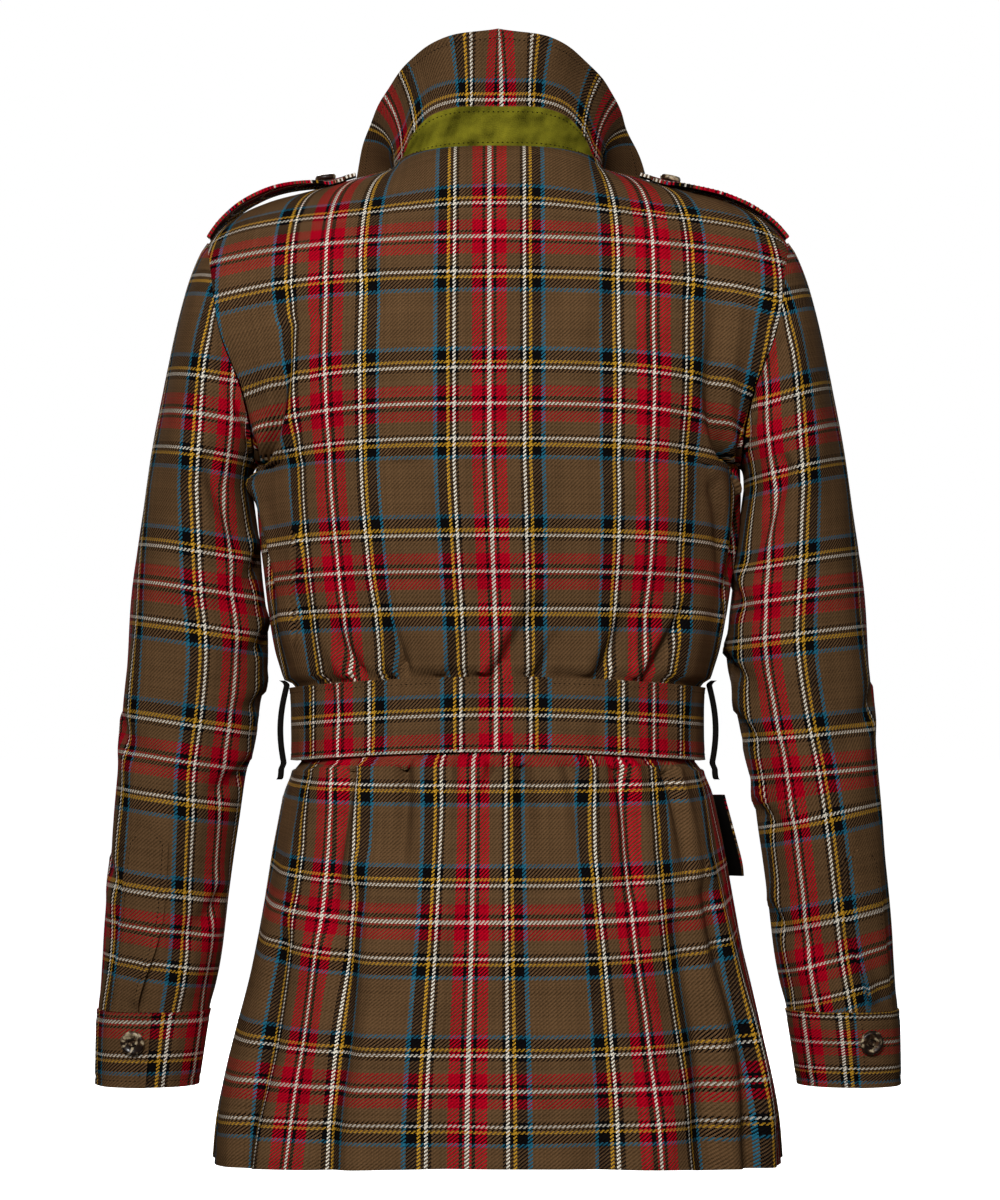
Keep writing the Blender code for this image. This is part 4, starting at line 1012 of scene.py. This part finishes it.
for side_name, side in SIDES.items():
    lap_angle, placket_angle = CUFF_TURNS[side_name]
    alpha, drop = grid(np.linspace(lap_angle, lap_angle - 360 - CUFF_LAP, CUFF_COLUMNS),
                       np.linspace(SLEEVE_END - SEAM_GAP, CUFF_END, CUFF_ROWS))
    low, high = CUFF_RAMP
    raised = (CUFF_CLOTH + LAYER_GAP) * ease(alpha, lap_angle - low * CUFF_LAP, lap_angle - high * CUFF_LAP)
    normal = sleeve_normal(alpha, drop) * LEVEL_ONLY
    edge = np.minimum(SLEEVE_END - drop, drop - CUFF_END)
    swell = 0.5 * np.sin(alpha / 19.0) * ease(edge, 0, 12) - 0.5 * near(edge, WIDE_STITCH_INSET, 1.2)
    outer = sleeve(alpha, drop) + normal * (CUFF_PROUD + raised + swell)[..., None]
    inner = outer - normal * CUFF_CLOTH
    white = dict(zip(CUFF_LINE_COLUMNS, CUFF_LINES[side_name]))
    across = -side * (walked(outer, 1)[CUFF_ROWS // 2] - white["along"]) * white["warp_share"]
    lines = np.stack([np.broadcast_to(across, alpha.shape), (white["height"] - drop) * white["stretch"]], -1)
    outer, inner, normal = mirrored(side, outer, inner, normal)
    piece = wall(f"cuff_{side_name}_cloth", outer, inner, lines, side > 0)
    fit(piece, f"cuff_{side_name}")
    rows = outline(outer, normal, WIDE_STITCH_INSET)

    point_height, foot = PLACKET[0][0], PLACKET[-1][0]
    share, drop = grid(np.linspace(-1, 1, PLACKET_ACROSS), np.linspace(point_height, foot, PLACKET_ROWS))
    half_width = straight(PLACKET, PLACKET_COLUMNS, "half_width", drop)
    drop = drop + PLACKET_RAISE[side_name] * ease(drop, foot, point_height)
    flare_start, flare_end, flare_back, flare_out = PLACKET_FLARE
    open_share = ease(-drop, -flare_start, -flare_end)
    swing = flare_back * open_share * (1 + share) / 2
    across = share * half_width * np.where(share > 0, PLACKET_SPREAD, 1) - swing
    alpha = placket_angle + np.degrees(across / column(SLEEVE_SECTIONS, SLEEVE_COLUMNS, "half_depth", drop))
    normal = sleeve_normal(alpha, drop)
    lift = PLACKET_GAP + flare_out * open_share * ease(share, 0.2, 1.0) * ease(drop, foot, foot + 12)
    inner = sleeve(alpha, drop) + normal * lift[..., None]
    outer = inner + normal * CLOTH
    lines = placket_lines(side_name, alpha, drop)
    outer, inner, normal = mirrored(side, outer, inner, normal)
    piece = wall(f"placket_{side_name}_cloth", outer, inner, lines, side < 0)
    fit(piece, f"placket_{side_name}")
    rows += outline(outer, normal, STITCH_INSET, "lr")
    for bar in PLACKET_BAR_HEIGHTS:
        rows.append(cut_line(outer, normal, (point_height - bar) / (point_height - foot), True, (0.1, 0.9)))
    stitch_rows(f"cuff_stitching_{side_name}", rows, brown_thread)


# Collar: a crescent stand of plain green cloth at the back neck, stitched in dark rows along both its
# edges, and a turned-up fall of the checked wool that rolls open at the sides down to the front points.

COLLAR_CLOTH = 2.0
COLLAR_COLUMNS = ("turn", "edge_x", "edge_y", "edge_z", "stand")
COLLAR = (
    (0, 0, 68, 72, 25),
    (25, 41, 59, 66, 24.7),
    (41, 61, 36, 56, 20),
    (52, 71, 20, 48, 12.5),
    (60, 78, 8, 41, 7),
    (67, 83, -2, 34, 2.5),
    (75, 88, -14, 25, 0),
    (90, 96, -34, 8, 0),
    (105, 103, -54, -12, 0),
    (120, 105, -76, -36, 0),
    (135, 99, -95, -62, 0),
    (150, 87, -108, -86, 0),
    (165, 69, -118, -106, 0),
    (177, 53, -124, -121, 0),
)
COLLAR_RISE = 0.42
STAND_LEAN = 2.0
STAND_SEAT = 0.8
COLLAR_INSET = 1.2
RIGHT_WING_OUT = 5.0
RIGHT_WING_TURNS = (80.0, 115.0)
COLLAR_AROUND = 241
COLLAR_ROWS = 28
STAND_AROUND = 121
STAND_ROWS = 12
STAND_TUCK = 3.5  # how far the stand reaches down inside the neck seam
FALL_TUCK = (4.5, 52.0, 66.0)  # how far the fall does so too, and the turns between which it starts
STAND_END = 76.0
ROUND_OFF = 7.0
ROUND_OFF_REACH = 25.0
FALL_LINES = (2.0, 1.15, 20.9)  # shift and stretch of the warp, and the white line's place under the seam
COLLAR_STITCH_INSET = 6.0
STAND_STITCH_SHARES = (0.14, 0.86)
GREEN = (121, 116, 28)
DARK_STITCH = (40, 36, 14)


def inward(points):
    """The level way from points round the neck to its middle."""
    middle = -points * LEVEL_ONLY
    return middle / np.linalg.norm(middle, axis=-1, keepdims=True)


def collar_base(turn):
    """The neck seam as the collar meets it, a little inside and above the panels' edges."""
    point = neckline(turn)
    return point + inward(point) * COLLAR_INSET + np.array([0, 0, STAND_SEAT])


def from_centre(turn):
    """Turn from the centre back, rounded off there so that no peak stands in the collar's edge."""
    turn = np.abs(turn)
    return turn - ROUND_OFF * (1 - np.exp(-turn / ROUND_OFF)) * np.exp(-turn / ROUND_OFF_REACH)


def collar_seam(turn):
    """Where the collar's fall is sewn on: along the stand at the back, along the neckline beyond."""
    stand = np.maximum(column(COLLAR, COLLAR_COLUMNS, "stand", from_centre(turn)), 0)
    lean = STAND_LEAN * stand / COLLAR[0][4] * np.cos(np.radians(turn))
    return collar_base(turn) + np.stack([np.zeros_like(lean), lean, stand + STAND_SEAT], -1)


def fall(turn, way):
    """The collar's fall, from its seam (way 0) to its free edge (way 1)."""
    seam = collar_seam(turn)
    side = np.where(turn < 0, -1.0, 1.0)
    names = ("edge_x", "edge_y", "edge_z")
    edge = np.stack([column(COLLAR, COLLAR_COLUMNS, name, from_centre(turn)) for name in names], -1)
    edge[..., 0] += RIGHT_WING_OUT * (side < 0) * ease(np.abs(turn), *RIGHT_WING_TURNS)
    edge = edge * np.stack([side, np.ones_like(side), np.ones_like(side)], -1)
    rise = COLLAR_RISE * np.linalg.norm(edge - seam, axis=-1)
    knee = seam + np.stack([np.zeros_like(rise), np.zeros_like(rise), rise], -1)
    t = way[..., None]
    return seam * (1 - t) ** 2 + knee * 2 * t * (1 - t) + edge * t**2


def green_cloth():
    """Plain moss-green twill, a little worn and uneven."""
    material, wire, shader = new_material("green_cloth", 0.9)
    place = wire.node("ShaderNodeUVMap", {"uv_map": "cloth"}, {})
    mottle = noise(wire, place, 1.4, Detail=4.0) * 0.9 + noise(wire, place, 0.06) * 2.0 - 0.95
    feed(blend(mottle, *shades(GREEN, 0.2, 1.75)), shader, "Base Color")
    wave = wire.node("ShaderNodeTexWave", {"bands_direction": "DIAGONAL"}, {"Vector": place, "Scale": 0.5})
    bumped(wire, shader, wave, 0.3, 0.0003)
    return material


turn, way = grid(np.linspace(-177, 177, COLLAR_AROUND), np.linspace(0, 1, COLLAR_ROWS))
under = fall(turn, way)
tuck, tuck_from, tuck_to = FALL_TUCK
under[..., 2] -= tuck * ease(np.abs(turn), tuck_from, tuck_to) * (1 - way) ** 8
wave = way * (0.8 * np.sin(np.radians(turn) * 7.0 + 0.6) + 0.5 * np.sin(np.radians(turn) * 17.0 + 2.0))
normal = grid_normal(under)
under = under + normal * wave[..., None]
over = under + normal * COLLAR_CLOTH
shift, stretch, white = FALL_LINES
around = walked(under, 1)[COLLAR_ROWS // 2]
around = around - around[COLLAR_AROUND // 2]
lines = np.stack([np.broadcast_to(-(around + shift) * stretch, turn.shape), -(walked(under, 0) + white)], -1)
collar = wall("collar_fall_cloth", under, over, lines)
fit(collar, "collar_fall")
inset = 1 - COLLAR_STITCH_INSET / walked(under, 0)[-1].mean()
faces = ((under, -normal), (over, normal))
rows = [cut_line(face, facing, inset, True, (0.01, 0.99)) for face, facing in faces]
stitch_rows("collar_stitching", rows, brown_thread)

turn, way = grid(np.linspace(-STAND_END, STAND_END, STAND_AROUND), np.linspace(0, 1, STAND_ROWS))
low = collar_base(turn) - np.array([0, 0, STAND_TUCK])
high = collar_seam(turn) + np.array([0, 0, 0.4])
outer = low + (high - low) * way[..., None] + inward(low) * (0.9 * (1 - way))[..., None]
inner = outer + inward(low) * COLLAR_CLOTH
lines = np.stack([walked(outer, 1), walked(outer, 0)], -1)
stand = wall("collar_stand_cloth", inner, outer, lines, material=green_cloth())
fit(stand, "collar_stand")
dark_thread = stitch_thread("dark_thread", DARK_STITCH)
rows = [cut_line(outer, -inward(low), share, True, (0.04, 0.96)) for share in STAND_STITCH_SHARES]
stitch_rows("stand_stitching", rows, dark_thread)


# Epaulettes: lined straps of the checked wool, sewn into the armhole seam and buttoned near the neck. They
# stand off the shoulder a little, the left one more than the right.

EPAULETTE_CLOTH = 2.2
EPAULETTE_INNER = 112.0
EPAULETTE_OUTER = 206.5
EPAULETTE_HALF_WIDTH = 24.0
EPAULETTE_TAPER = 0.78
EPAULETTE_TIP = 9.0
EPAULETTE_TIP_SHARE = 0.35
EPAULETTE_GAP = 1.0
EPAULETTE_LIFTS = {"left": 7.5, "right": 3.0}
EPAULETTE_LEAN = 0.85  # below 1 the strap stands highest nearer its button
EPAULETTE_CREST = 0.45  # share of the lift over the shoulder seam, the edges standing higher
EPAULETTE_BUTTON = 124.0
SHOULDER_WALK = np.linspace(1, 0.7, 200)  # levels walked down from the shoulder seam
EPAULETTE_LINES = (38.5, 52.0)  # places of the warp and the weft at its corner
EPAULETTE_LENGTHS = 44
EPAULETTE_SHARES = 19


def shoulder_top(reach, across):
    """Point on top of the left shoulder, by reach along the seam and distance to the back (+) or front."""
    share = NECK_SHARE + (1 - NECK_SHARE) * (reach - NECK_HALF_WIDTH) / (SHOULDER_TIP - NECK_HALF_WIDTH)
    angle = SIDE_SEAM * share if across >= 0 else 180 - SIDE_SEAM * share
    path = torso(angle, SHOULDER_WALK)
    level = np.interp(abs(across), walked(path, 0), SHOULDER_WALK)
    return torso(angle, level), torso_normal(angle, level)


def strap_point(reach, share, lift, off):
    """Point of the left shoulder strap, standing a little off the seam between its button and the armhole."""
    along = (reach - EPAULETTE_INNER) / (EPAULETTE_OUTER - EPAULETTE_INNER)
    half = EPAULETTE_HALF_WIDTH * (EPAULETTE_TAPER + (1 - EPAULETTE_TAPER) * max(along, 0))
    half *= EPAULETTE_TIP_SHARE if along < 0 else 1
    point, normal = shoulder_top(reach, half * share)
    loose = np.clip((reach - EPAULETTE_BUTTON) / (EPAULETTE_OUTER - EPAULETTE_BUTTON), 0, 1)
    lift *= EPAULETTE_CREST + (1 - EPAULETTE_CREST) * share**2
    return point + normal * (EPAULETTE_GAP + lift * np.sin(np.pi * loose**EPAULETTE_LEAN) ** 0.8 + off)


for side_name, side in SIDES.items():
    reaches = np.linspace(EPAULETTE_INNER - EPAULETTE_TIP, EPAULETTE_OUTER, EPAULETTE_LENGTHS)
    shares = np.linspace(-1, 1, EPAULETTE_SHARES)
    inner, outer = [np.array([[strap_point(reach, share, EPAULETTE_LIFTS[side_name], off) for share in shares]
                              for reach in reaches]) for off in (0, EPAULETTE_CLOTH)]
    warp, weft = EPAULETTE_LINES
    lines = np.stack([side * (walked(outer, 1) - warp), walked(outer, 0) + weft], -1)
    outer, inner = mirrored(side, outer, inner)
    piece = wall(f"epaulette_{side_name}_cloth", outer, inner, lines)
    fit(piece, f"epaulette_{side_name}")
    rows = outline(outer, outer - inner, WIDE_STITCH_INSET, "ulr")
    stitch_rows(f"epaulette_stitching_{side_name}", rows, brown_thread)


# Hip pockets: patch pockets of the checked wool on each front, edge-stitched, under pointed-off flaps
# sewn on above them. The right flap stands away from the body. The flaps' backs are painted near-black as
# shade.

POCKET_COLUMNS = ("height", "spread")
POCKET = ((-488, 1.0), (-505, 1.0), (-545, 1.0), (-590, 1.0), (-622, 1.0), (-635, 0.98), (-641, 0.9))
POCKET_TURNS = (151.5, 96.975)  # degrees from the centre back to its front and rear edge
POCKET_GAP = 0.8
POCKET_SHORT = {1: 4.5, -1: 0.0}  # degrees by which the left and the right one stop short at the rear
POCKET_LINES = (40.0, -470.0)  # places of a white line, across from the edge and in height
FLAP = ((-472, 1.015), (-488, 1.015), (-505, 1.015), (-524, 1.015), (-531, 0.95))
FLAP_LIFTS = {"left": 0.0, "right": 10.0}
# painted shade: the near-black of the flaps' backs, standing in for the shadow under them
FLAP_BACK_PAINTED_SHADE = (22, 18, 17)
FLAP_TOP_LIFT = 0.6  # share of the lift that its rear upper corner has
POCKET_SHARES = 41
POCKET_ROWS = 48


def patch_face(table, share, height, side, off, lift):
    """Points over the front panel, off it by a distance. Lift raises the rear edge, most at its foot."""
    start, end = POCKET_TURNS[0], POCKET_TURNS[1] + POCKET_SHORT[side]
    spread = column(table, POCKET_COLUMNS, "spread", height)
    angle = side * ((start + end) / 2 + share * spread * (end - start) / 2)
    down = (table[0][0] - height) / (table[0][0] - table[-1][0])
    raised = off + lift * (FLAP_TOP_LIFT + (1 - FLAP_TOP_LIFT) * down) * ((1 + share) / 2) ** 2
    return torso(angle, level_of(height)) + torso_normal(angle, level_of(height)) * raised[..., None]


# Painted shade on the flaps' backs: near-black cloth for the shadow they lie in, not a lining of their own.
flap_back_shade, wire, shader = new_material("flap_back_painted_shade", 0.9)
weave = wire.node("ShaderNodeTexNoise", {}, {"Scale": 600.0}) * 0.6 + 0.7
feed(blend(1.0, grey(weave), dyed(*FLAP_BACK_PAINTED_SHADE), "MULTIPLY"), shader, "Base Color")
for side_name, side in SIDES.items():
    rows = []
    for kind, table, off, lift, flat in (
            ("pocket", POCKET, POCKET_GAP, 0, (0.13, 0.155)),
            ("pocket_flap", FLAP, POCKET_GAP + CLOTH + LAYER_GAP, FLAP_LIFTS[side_name], (0.135, 0.06))):
        heights = np.linspace(table[0][0], table[-1][0], POCKET_ROWS)
        share, height = grid(np.linspace(-1, 1, POCKET_SHARES), heights)
        inner = patch_face(table, share, height, side, off, lift)
        outer = patch_face(table, share, height, side, off + CLOTH, lift)
        across, white = POCKET_LINES
        lines = np.stack([side * (walked(outer, 1) - across), white - height], -1)
        piece = wall(f"{kind}_{side_name}_cloth", outer, inner, lines, side < 0)
        # the flap's back face takes the painted shade
        if kind == "pocket_flap":
            piece.data.materials.append(flap_back_shade)
            quads = (POCKET_ROWS - 1) * (POCKET_SHARES - 1)
            for quad in piece.data.polygons[quads:2 * quads]:
                quad.material_index = 1
        fit(piece, f"{kind}_{side_name}")
        rows += outline(outer, outer - inner, STITCH_INSET, "lrb" if kind == "pocket" else "ulrb")
    stitch_rows(f"pocket_stitching_{side_name}", rows, brown_thread)


# Belt: a stiffened strip of the checked wool, stitched along both edges, pulled through its slide buckle
# at the front. Thin rolled loops hold it at the side seams; they are painted near-black, as the shade they
# stand in.

BELT_CLOTH = 3.0
BELT_START = 177.6
BELT_TAIL = 40.0
BELT_LAYER_GAP = 0.65
BELT_CLIMB = (-174.0, -158.0)  # degrees over which the strip climbs over its own start
BELT_AROUND = 420
BELT_ROWS = 22
BELT_CREASES = (
    (52, -400, 48, -432, 7, -1.8, -0.6),
    (35, -430, 38, -404, 8, -0.6, -1.6),
    (21, -400, 17, -425, 9, -1.6, -0.5),
    (-9, -402, -6, -436, 9, -1.4, -1.0),
    (-27, -436, -30, -410, 8, -1.6, -0.4),
    (-44, -400, -42, -434, 7, -1.8, -0.6),
    (-66, -432, -68, -408, 8, -1.2, -0.6),
    (68, -434, 71, -406, 8, -1.2, -0.6),
    (112, -402, 115, -430, 9, -1.2, -0.6),
    (-118, -434, -115, -408, 9, -1.2, -0.6),
    (146, -404, 144, -432, 9, -1.0, -0.5),
    (-147, -404, -150, -430, 9, -1.0, -0.5),
)
BELT_LINES = (1.4, 26.0)  # shift of the warp, and the white line's place under the middle

half = BELT_WIDTH / 2
turn, off = grid(np.linspace(BELT_START, -180 - BELT_TAIL, BELT_AROUND), np.linspace(half, -half, BELT_ROWS))
wrapped = (turn + 180) % 360 - 180
level = level_of(BELT_HEIGHT + off)
normal = torso_normal(wrapped, level, folds=0)
second = (BELT_CLOTH + BELT_LAYER_GAP) * (1 - ease(turn, *BELT_CLIMB))
depth = np.clip(0.8 + creased(wrapped, BELT_HEIGHT + off, BODY_DEGREE, BELT_CREASES), 0, 1.6)
depth *= ease(np.abs(wrapped), 180, 150)
depth -= 0.4 * near(half - np.abs(off), STITCH_INSET, 1.3)
inner = torso(wrapped, level, folds=0) + normal * (LAYER_GAP + second)[..., None]
outer = inner + normal * (BELT_CLOTH + depth)[..., None]
shift, white = BELT_LINES
around = walked(inner, 1)
centre = np.array([np.interp(0, -turn[0], row) for row in around])[:, None]
lines = np.stack([around - centre + shift, -(off + white)], -1)
belt = wall("belt_cloth", outer, inner, lines)
fit(belt, "belt")
stitch_rows("belt_stitching", outline(outer, normal, STITCH_INSET), brown_thread)

# painted shade: the loops' near-black and its ridges' slightly lighter tone stand in for the shadow at the
# sides
LOOP_PAINTED_SHADE = (20, 17, 16)
LOOP_PAINTED_SHADE_RIDGES = (0.014, 0.012, 0.011, 1.0)  # its ridges, a little lighter within the painted shade
LOOP_ANGLE = 86.0
LOOP_ENDS = (-388.0, -459.0)
LOOP_BOW = (4.2, 8.4)  # how far its ends and then its middle stand off the body
LOOP_SECTION = (2.7, 2.2)  # half its width and half its thickness
LOOP_KNOTS = 60
LOOP_SIDES = 14


def tube_faces(rings, sides, first=0):
    """Faces between rings of as many points each, whose numbers start at first."""
    return [(here + k, here + sides + k, here + sides + (k + 1) % sides, here + (k + 1) % sides)
            for here in range(first, first + (rings - 1) * sides, sides) for k in range(sides)]


# Painted shade: the loops' near-black cloth stands in for the shadow they stand in at the side seams.
loop_painted_shade, wire, shader = new_material("loop_painted_shade", 0.85)
place = wire.node("ShaderNodeTexCoord", {}, {}, 3)
twist = wire.node("ShaderNodeTexWave", {"bands_direction": "DIAGONAL"}, {"Vector": place, "Scale": 320.0})
feed(blend(twist, dyed(*LOOP_PAINTED_SHADE), LOOP_PAINTED_SHADE_RIDGES), shader, "Base Color")
bumped(wire, shader, twist, 0.5, 0.0004)
for side_name, side in SIDES.items():
    along = np.linspace(0, 1, LOOP_KNOTS)
    heights = LOOP_ENDS[0] + (LOOP_ENDS[1] - LOOP_ENDS[0]) * along
    facing = torso_normal(side * LOOP_ANGLE, level_of(BELT_HEIGHT), folds=0)
    at_ends, more = LOOP_BOW
    bow = at_ends + more * np.sin(np.pi * along) ** 0.6
    drawn = torso(side * LOOP_ANGLE, level_of(heights))
    drawn[:, :2] += (drawn[LOOP_KNOTS // 2, :2] - drawn[:, :2]) * np.sin(np.pi * along)[:, None] ** 0.5
    path = drawn + facing * bow[:, None]
    aside = np.cross(facing, (0, 0, 1))
    half_width, half_thickness = LOOP_SECTION
    turn = np.linspace(0, 2 * np.pi, LOOP_SIDES, endpoint=False)[:, None]
    section = aside * half_width * np.cos(turn) + facing * half_thickness * np.sin(turn)
    points = (path[:, None] + section).reshape(-1, 3)
    faces = [face[::-1] for face in tube_faces(LOOP_KNOTS, LOOP_SIDES)]
    last = (LOOP_KNOTS - 1) * LOOP_SIDES
    faces += [tuple(range(LOOP_SIDES))[::-1], tuple(range(last, last + LOOP_SIDES))]
    fit(new_piece(f"belt_loop_{side_name}_ribbon", points, faces, [loop_painted_shade]), f"belt_loop_{side_name}")


# Buttons and buckle: turned horn, dark brown mottled with cream, with a raised rim, a dished middle and
# four holes sewn through with thread, the holes painted as near-black discs of shade. The buckle is cut from
# the same horn.

BUTTON_RADIUS = 9.0
BUTTON_THICKNESS = 3.4
SMALL_BUTTON_RADIUS = 7.5
RIM_COLUMNS = ("reach", "height")  # shares of the radius and of the thickness
RIM = (
    (0.3, 0.62), (0.5, 0.66), (0.62, 0.8), (0.7, 0.95), (0.8, 1.0), (0.9, 0.93), (0.97, 0.72), (1.0, 0.45),
    (0.97, 0.15), (0.9, 0.0))
BUTTON_SIDES = 56
WRIST_REACH = 0.23  # a cuff's button faces away from a line this far to its side, in metres
HOLE = (0.24, 0.1, 0.04)  # a hole's place and radius as shares of the button's, and its disc's height
STRAND = (0.5, 0.4, 0.25)  # half width, half thickness and height of the thread from hole to hole
HORN_DARK = (34, 22, 16)
HORN_MID = (86, 58, 36)
HORN_CREAM = (205, 186, 150)


def horn():
    material, wire, shader = new_material("horn", 0.32, coat=0.25, specular=0.5)
    place = wire.node("ShaderNodeTexCoord", {}, {}, 3)
    cloud = noise(wire, place, 110.0, Detail=4.0, Distortion=1.4)
    streak = noise(wire, place, 340.0, Detail=3.0)
    smooth_step = ("ShaderNodeMapRange", {"interpolation_type": "SMOOTHSTEP"})
    mid = blend(wire.node(*smooth_step, {0: cloud, 1: 0.42, 2: 0.6}), dyed(*HORN_DARK), dyed(*HORN_MID))
    pale = wire.node(*smooth_step, {0: cloud * 0.7 + streak * 0.3, 1: 0.5, 2: 0.6})
    feed(blend(pale, mid, dyed(*HORN_CREAM)), shader, "Base Color")
    feed(0.26 + streak * 0.2, shader, "Roughness")
    return material


horn_finish = horn()
# Painted shade: the holes are near-black discs standing in for the shadow inside them.
hole_painted_shade, wire, shader = new_material("button_hole_painted_shade", 0.8)
feed(wire.node("ShaderNodeTexNoise", {}, {"Scale": 900.0}) * 0.01, shader, "Base Color")


def turned_button(name, node, radius):
    """A button turned from a profile, on its node's place and facing the same way."""
    corners = np.array([vertex.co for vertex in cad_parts[node].data.vertices])
    middle = corners.mean(axis=0)
    _, _, ways = np.linalg.svd(corners - middle)
    facing = Vector(ways[2])
    inside = np.sign(middle[0]) * WRIST_REACH if "cuff" in node else 0
    if facing.dot(Vector((middle[0] - inside, middle[1], 0))) < 0:
        facing = -facing

    around = np.linspace(0, 2 * np.pi, BUTTON_SIDES, endpoint=False)
    points = []
    for row in RIM:
        rim = dict(zip(RIM_COLUMNS, row))
        reach, height = radius * rim["reach"], (rim["height"] - 0.5) * BUTTON_THICKNESS
        points += [(reach * np.cos(a), reach * np.sin(a), height) for a in around]
    faces = tube_faces(len(RIM), BUTTON_SIDES)
    faces.append(tuple(range(BUTTON_SIDES)))
    faces.append(tuple(reversed(range(len(points) - BUTTON_SIDES, len(points)))))
    finishes = [0] * len(faces)

    place, small = HOLE[0] * radius, HOLE[1] * radius
    top = (RIM[0][1] - 0.5) * BUTTON_THICKNESS
    # each hole is a disc of painted shade on the dish
    for across in (-place, place):
        for up in (-place, place):
            disc = [(across + small * np.cos(a), up + small * np.sin(a), top + HOLE[2]) for a in around[::4]]
            faces.append(tuple(range(len(points), len(points) + len(disc))))
            finishes.append(1)
            points += disc
    half_width, half_thickness, above = STRAND
    for up in (-place, place):
        strand_faces = tube_faces(2, len(around[::7]), len(points))
        faces += strand_faces
        finishes += [2] * len(strand_faces)
        points += [(end, up + half_width * np.cos(a), top + above + half_thickness * np.sin(a))
                   for end in (-place, place) for a in around[::7]]

    piece = new_piece(name, points, faces, [horn_finish, hole_painted_shade, brown_thread], sharp=50)
    piece.data.polygons.foreach_set("material_index", finishes)
    turn = Vector((0, 0, 1)).rotation_difference(facing).to_matrix().to_4x4()
    piece.data.transform(Matrix.Translation(Vector(middle)) @ turn)
    fit(piece, node)


for number in range(1, 6):
    turned_button(f"front_button_{number}", f"button_front_{number}", BUTTON_RADIUS)
for side_name in SIDES:
    turned_button(f"cuff_button_{side_name}", f"button_cuff_{side_name}", BUTTON_RADIUS)
    turned_button(f"epaulette_button_{side_name}", f"button_epaulette_{side_name}", SMALL_BUTTON_RADIUS)
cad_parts["buckle"].material_slots[0].material = horn_finish


# Studio: a plain white ground, a strong soft light and two weak ones behind the jacket and again before it,
# a weak one from above, and a level camera behind the jacket, as it was photographed.

CAMERA_DISTANCE = 3.2
CAMERA_HEIGHT = -0.40
FRAME_HEIGHT = 0.864
FRAME_MIDDLE = (-0.00144, -0.329)
SENSOR = 36.0
AMBIENT = 0.03  # how much the white around lights the cloth, next to how bright it is seen
LIGHT_COLUMNS = ("name", "place", "size", "power")
LIGHTS = (
    ("left_light", (1.5, 2.6, 0.7), 0.8, 13),
    ("right_light", (-1.5, 2.6, 0.5), 0.8, 7),
    ("camera_light", (0.4, 3.2, 0.9), 0.6, 60),
    ("front_left_light", (1.5, -2.6, 0.7), 0.8, 13),
    ("front_right_light", (-1.5, -2.6, 0.5), 0.8, 7),
    ("front_light", (0.4, -3.2, 0.9), 0.6, 60),
    ("top_light", (0.0, 0.0, 2.4), 1.0, 4),
)

camera_data = bpy.data.cameras.new("camera")
camera_data.sensor_fit = "VERTICAL"
camera_data.sensor_height = SENSOR
camera_data.lens = SENSOR * CAMERA_DISTANCE / FRAME_HEIGHT
camera_data.shift_y = (FRAME_MIDDLE[1] - CAMERA_HEIGHT) / FRAME_HEIGHT
camera = placed("camera", camera_data)
camera.location = (FRAME_MIDDLE[0], CAMERA_DISTANCE, CAMERA_HEIGHT)
camera.rotation_euler = (np.pi / 2, 0, np.pi)
bpy.context.scene.camera = camera

for row in LIGHTS:
    light = dict(zip(LIGHT_COLUMNS, row))
    lamp_data = bpy.data.lights.new(light["name"], "AREA")
    lamp_data.size = light["size"]
    lamp_data.energy = light["power"]
    lamp = placed(light["name"], lamp_data)
    lamp.location = light["place"]
    aim = Vector((0, 0, FRAME_MIDDLE[1])) - lamp.location
    lamp.rotation_euler = aim.to_track_quat("-Z", "Y").to_euler()

world = bpy.data.worlds.new("studio")
world.use_nodes = True
sky = Wire(world.node_tree)
seen = sky.node("ShaderNodeLightPath", {}, {})
background = world.node_tree.nodes["Background"]
background.inputs["Color"].default_value = (1, 1, 1, 1)
feed(AMBIENT + seen * (1 - AMBIENT), background, "Strength")
bpy.context.scene.world = world
bpy.context.scene.view_settings.view_transform = "Standard"

FLOOR_HEIGHT = -0.86
FLOOR_REACH = 30.0
floor_corners = [
    (x, y, FLOOR_HEIGHT) for x, y in np.array([(-1, -1), (1, -1), (1, 1), (-1, 1)]) * FLOOR_REACH]
floor_mesh = bpy.data.meshes.new("floor")
floor_mesh.from_pydata(floor_corners, [], [(0, 1, 2, 3)])
floor_finish, wire, shader = new_material("floor", 0.9)
shader.inputs["Base Color"].default_value = (1, 1, 1, 1)
shader.inputs["Emission Color"].default_value = (1, 1, 1, 1)
shader.inputs["Emission Strength"].default_value = 1.0
floor_mesh.materials.append(floor_finish)
floor = placed("floor", floor_mesh)
floor.visible_diffuse = False
floor.visible_glossy = False
floor.visible_shadow = False
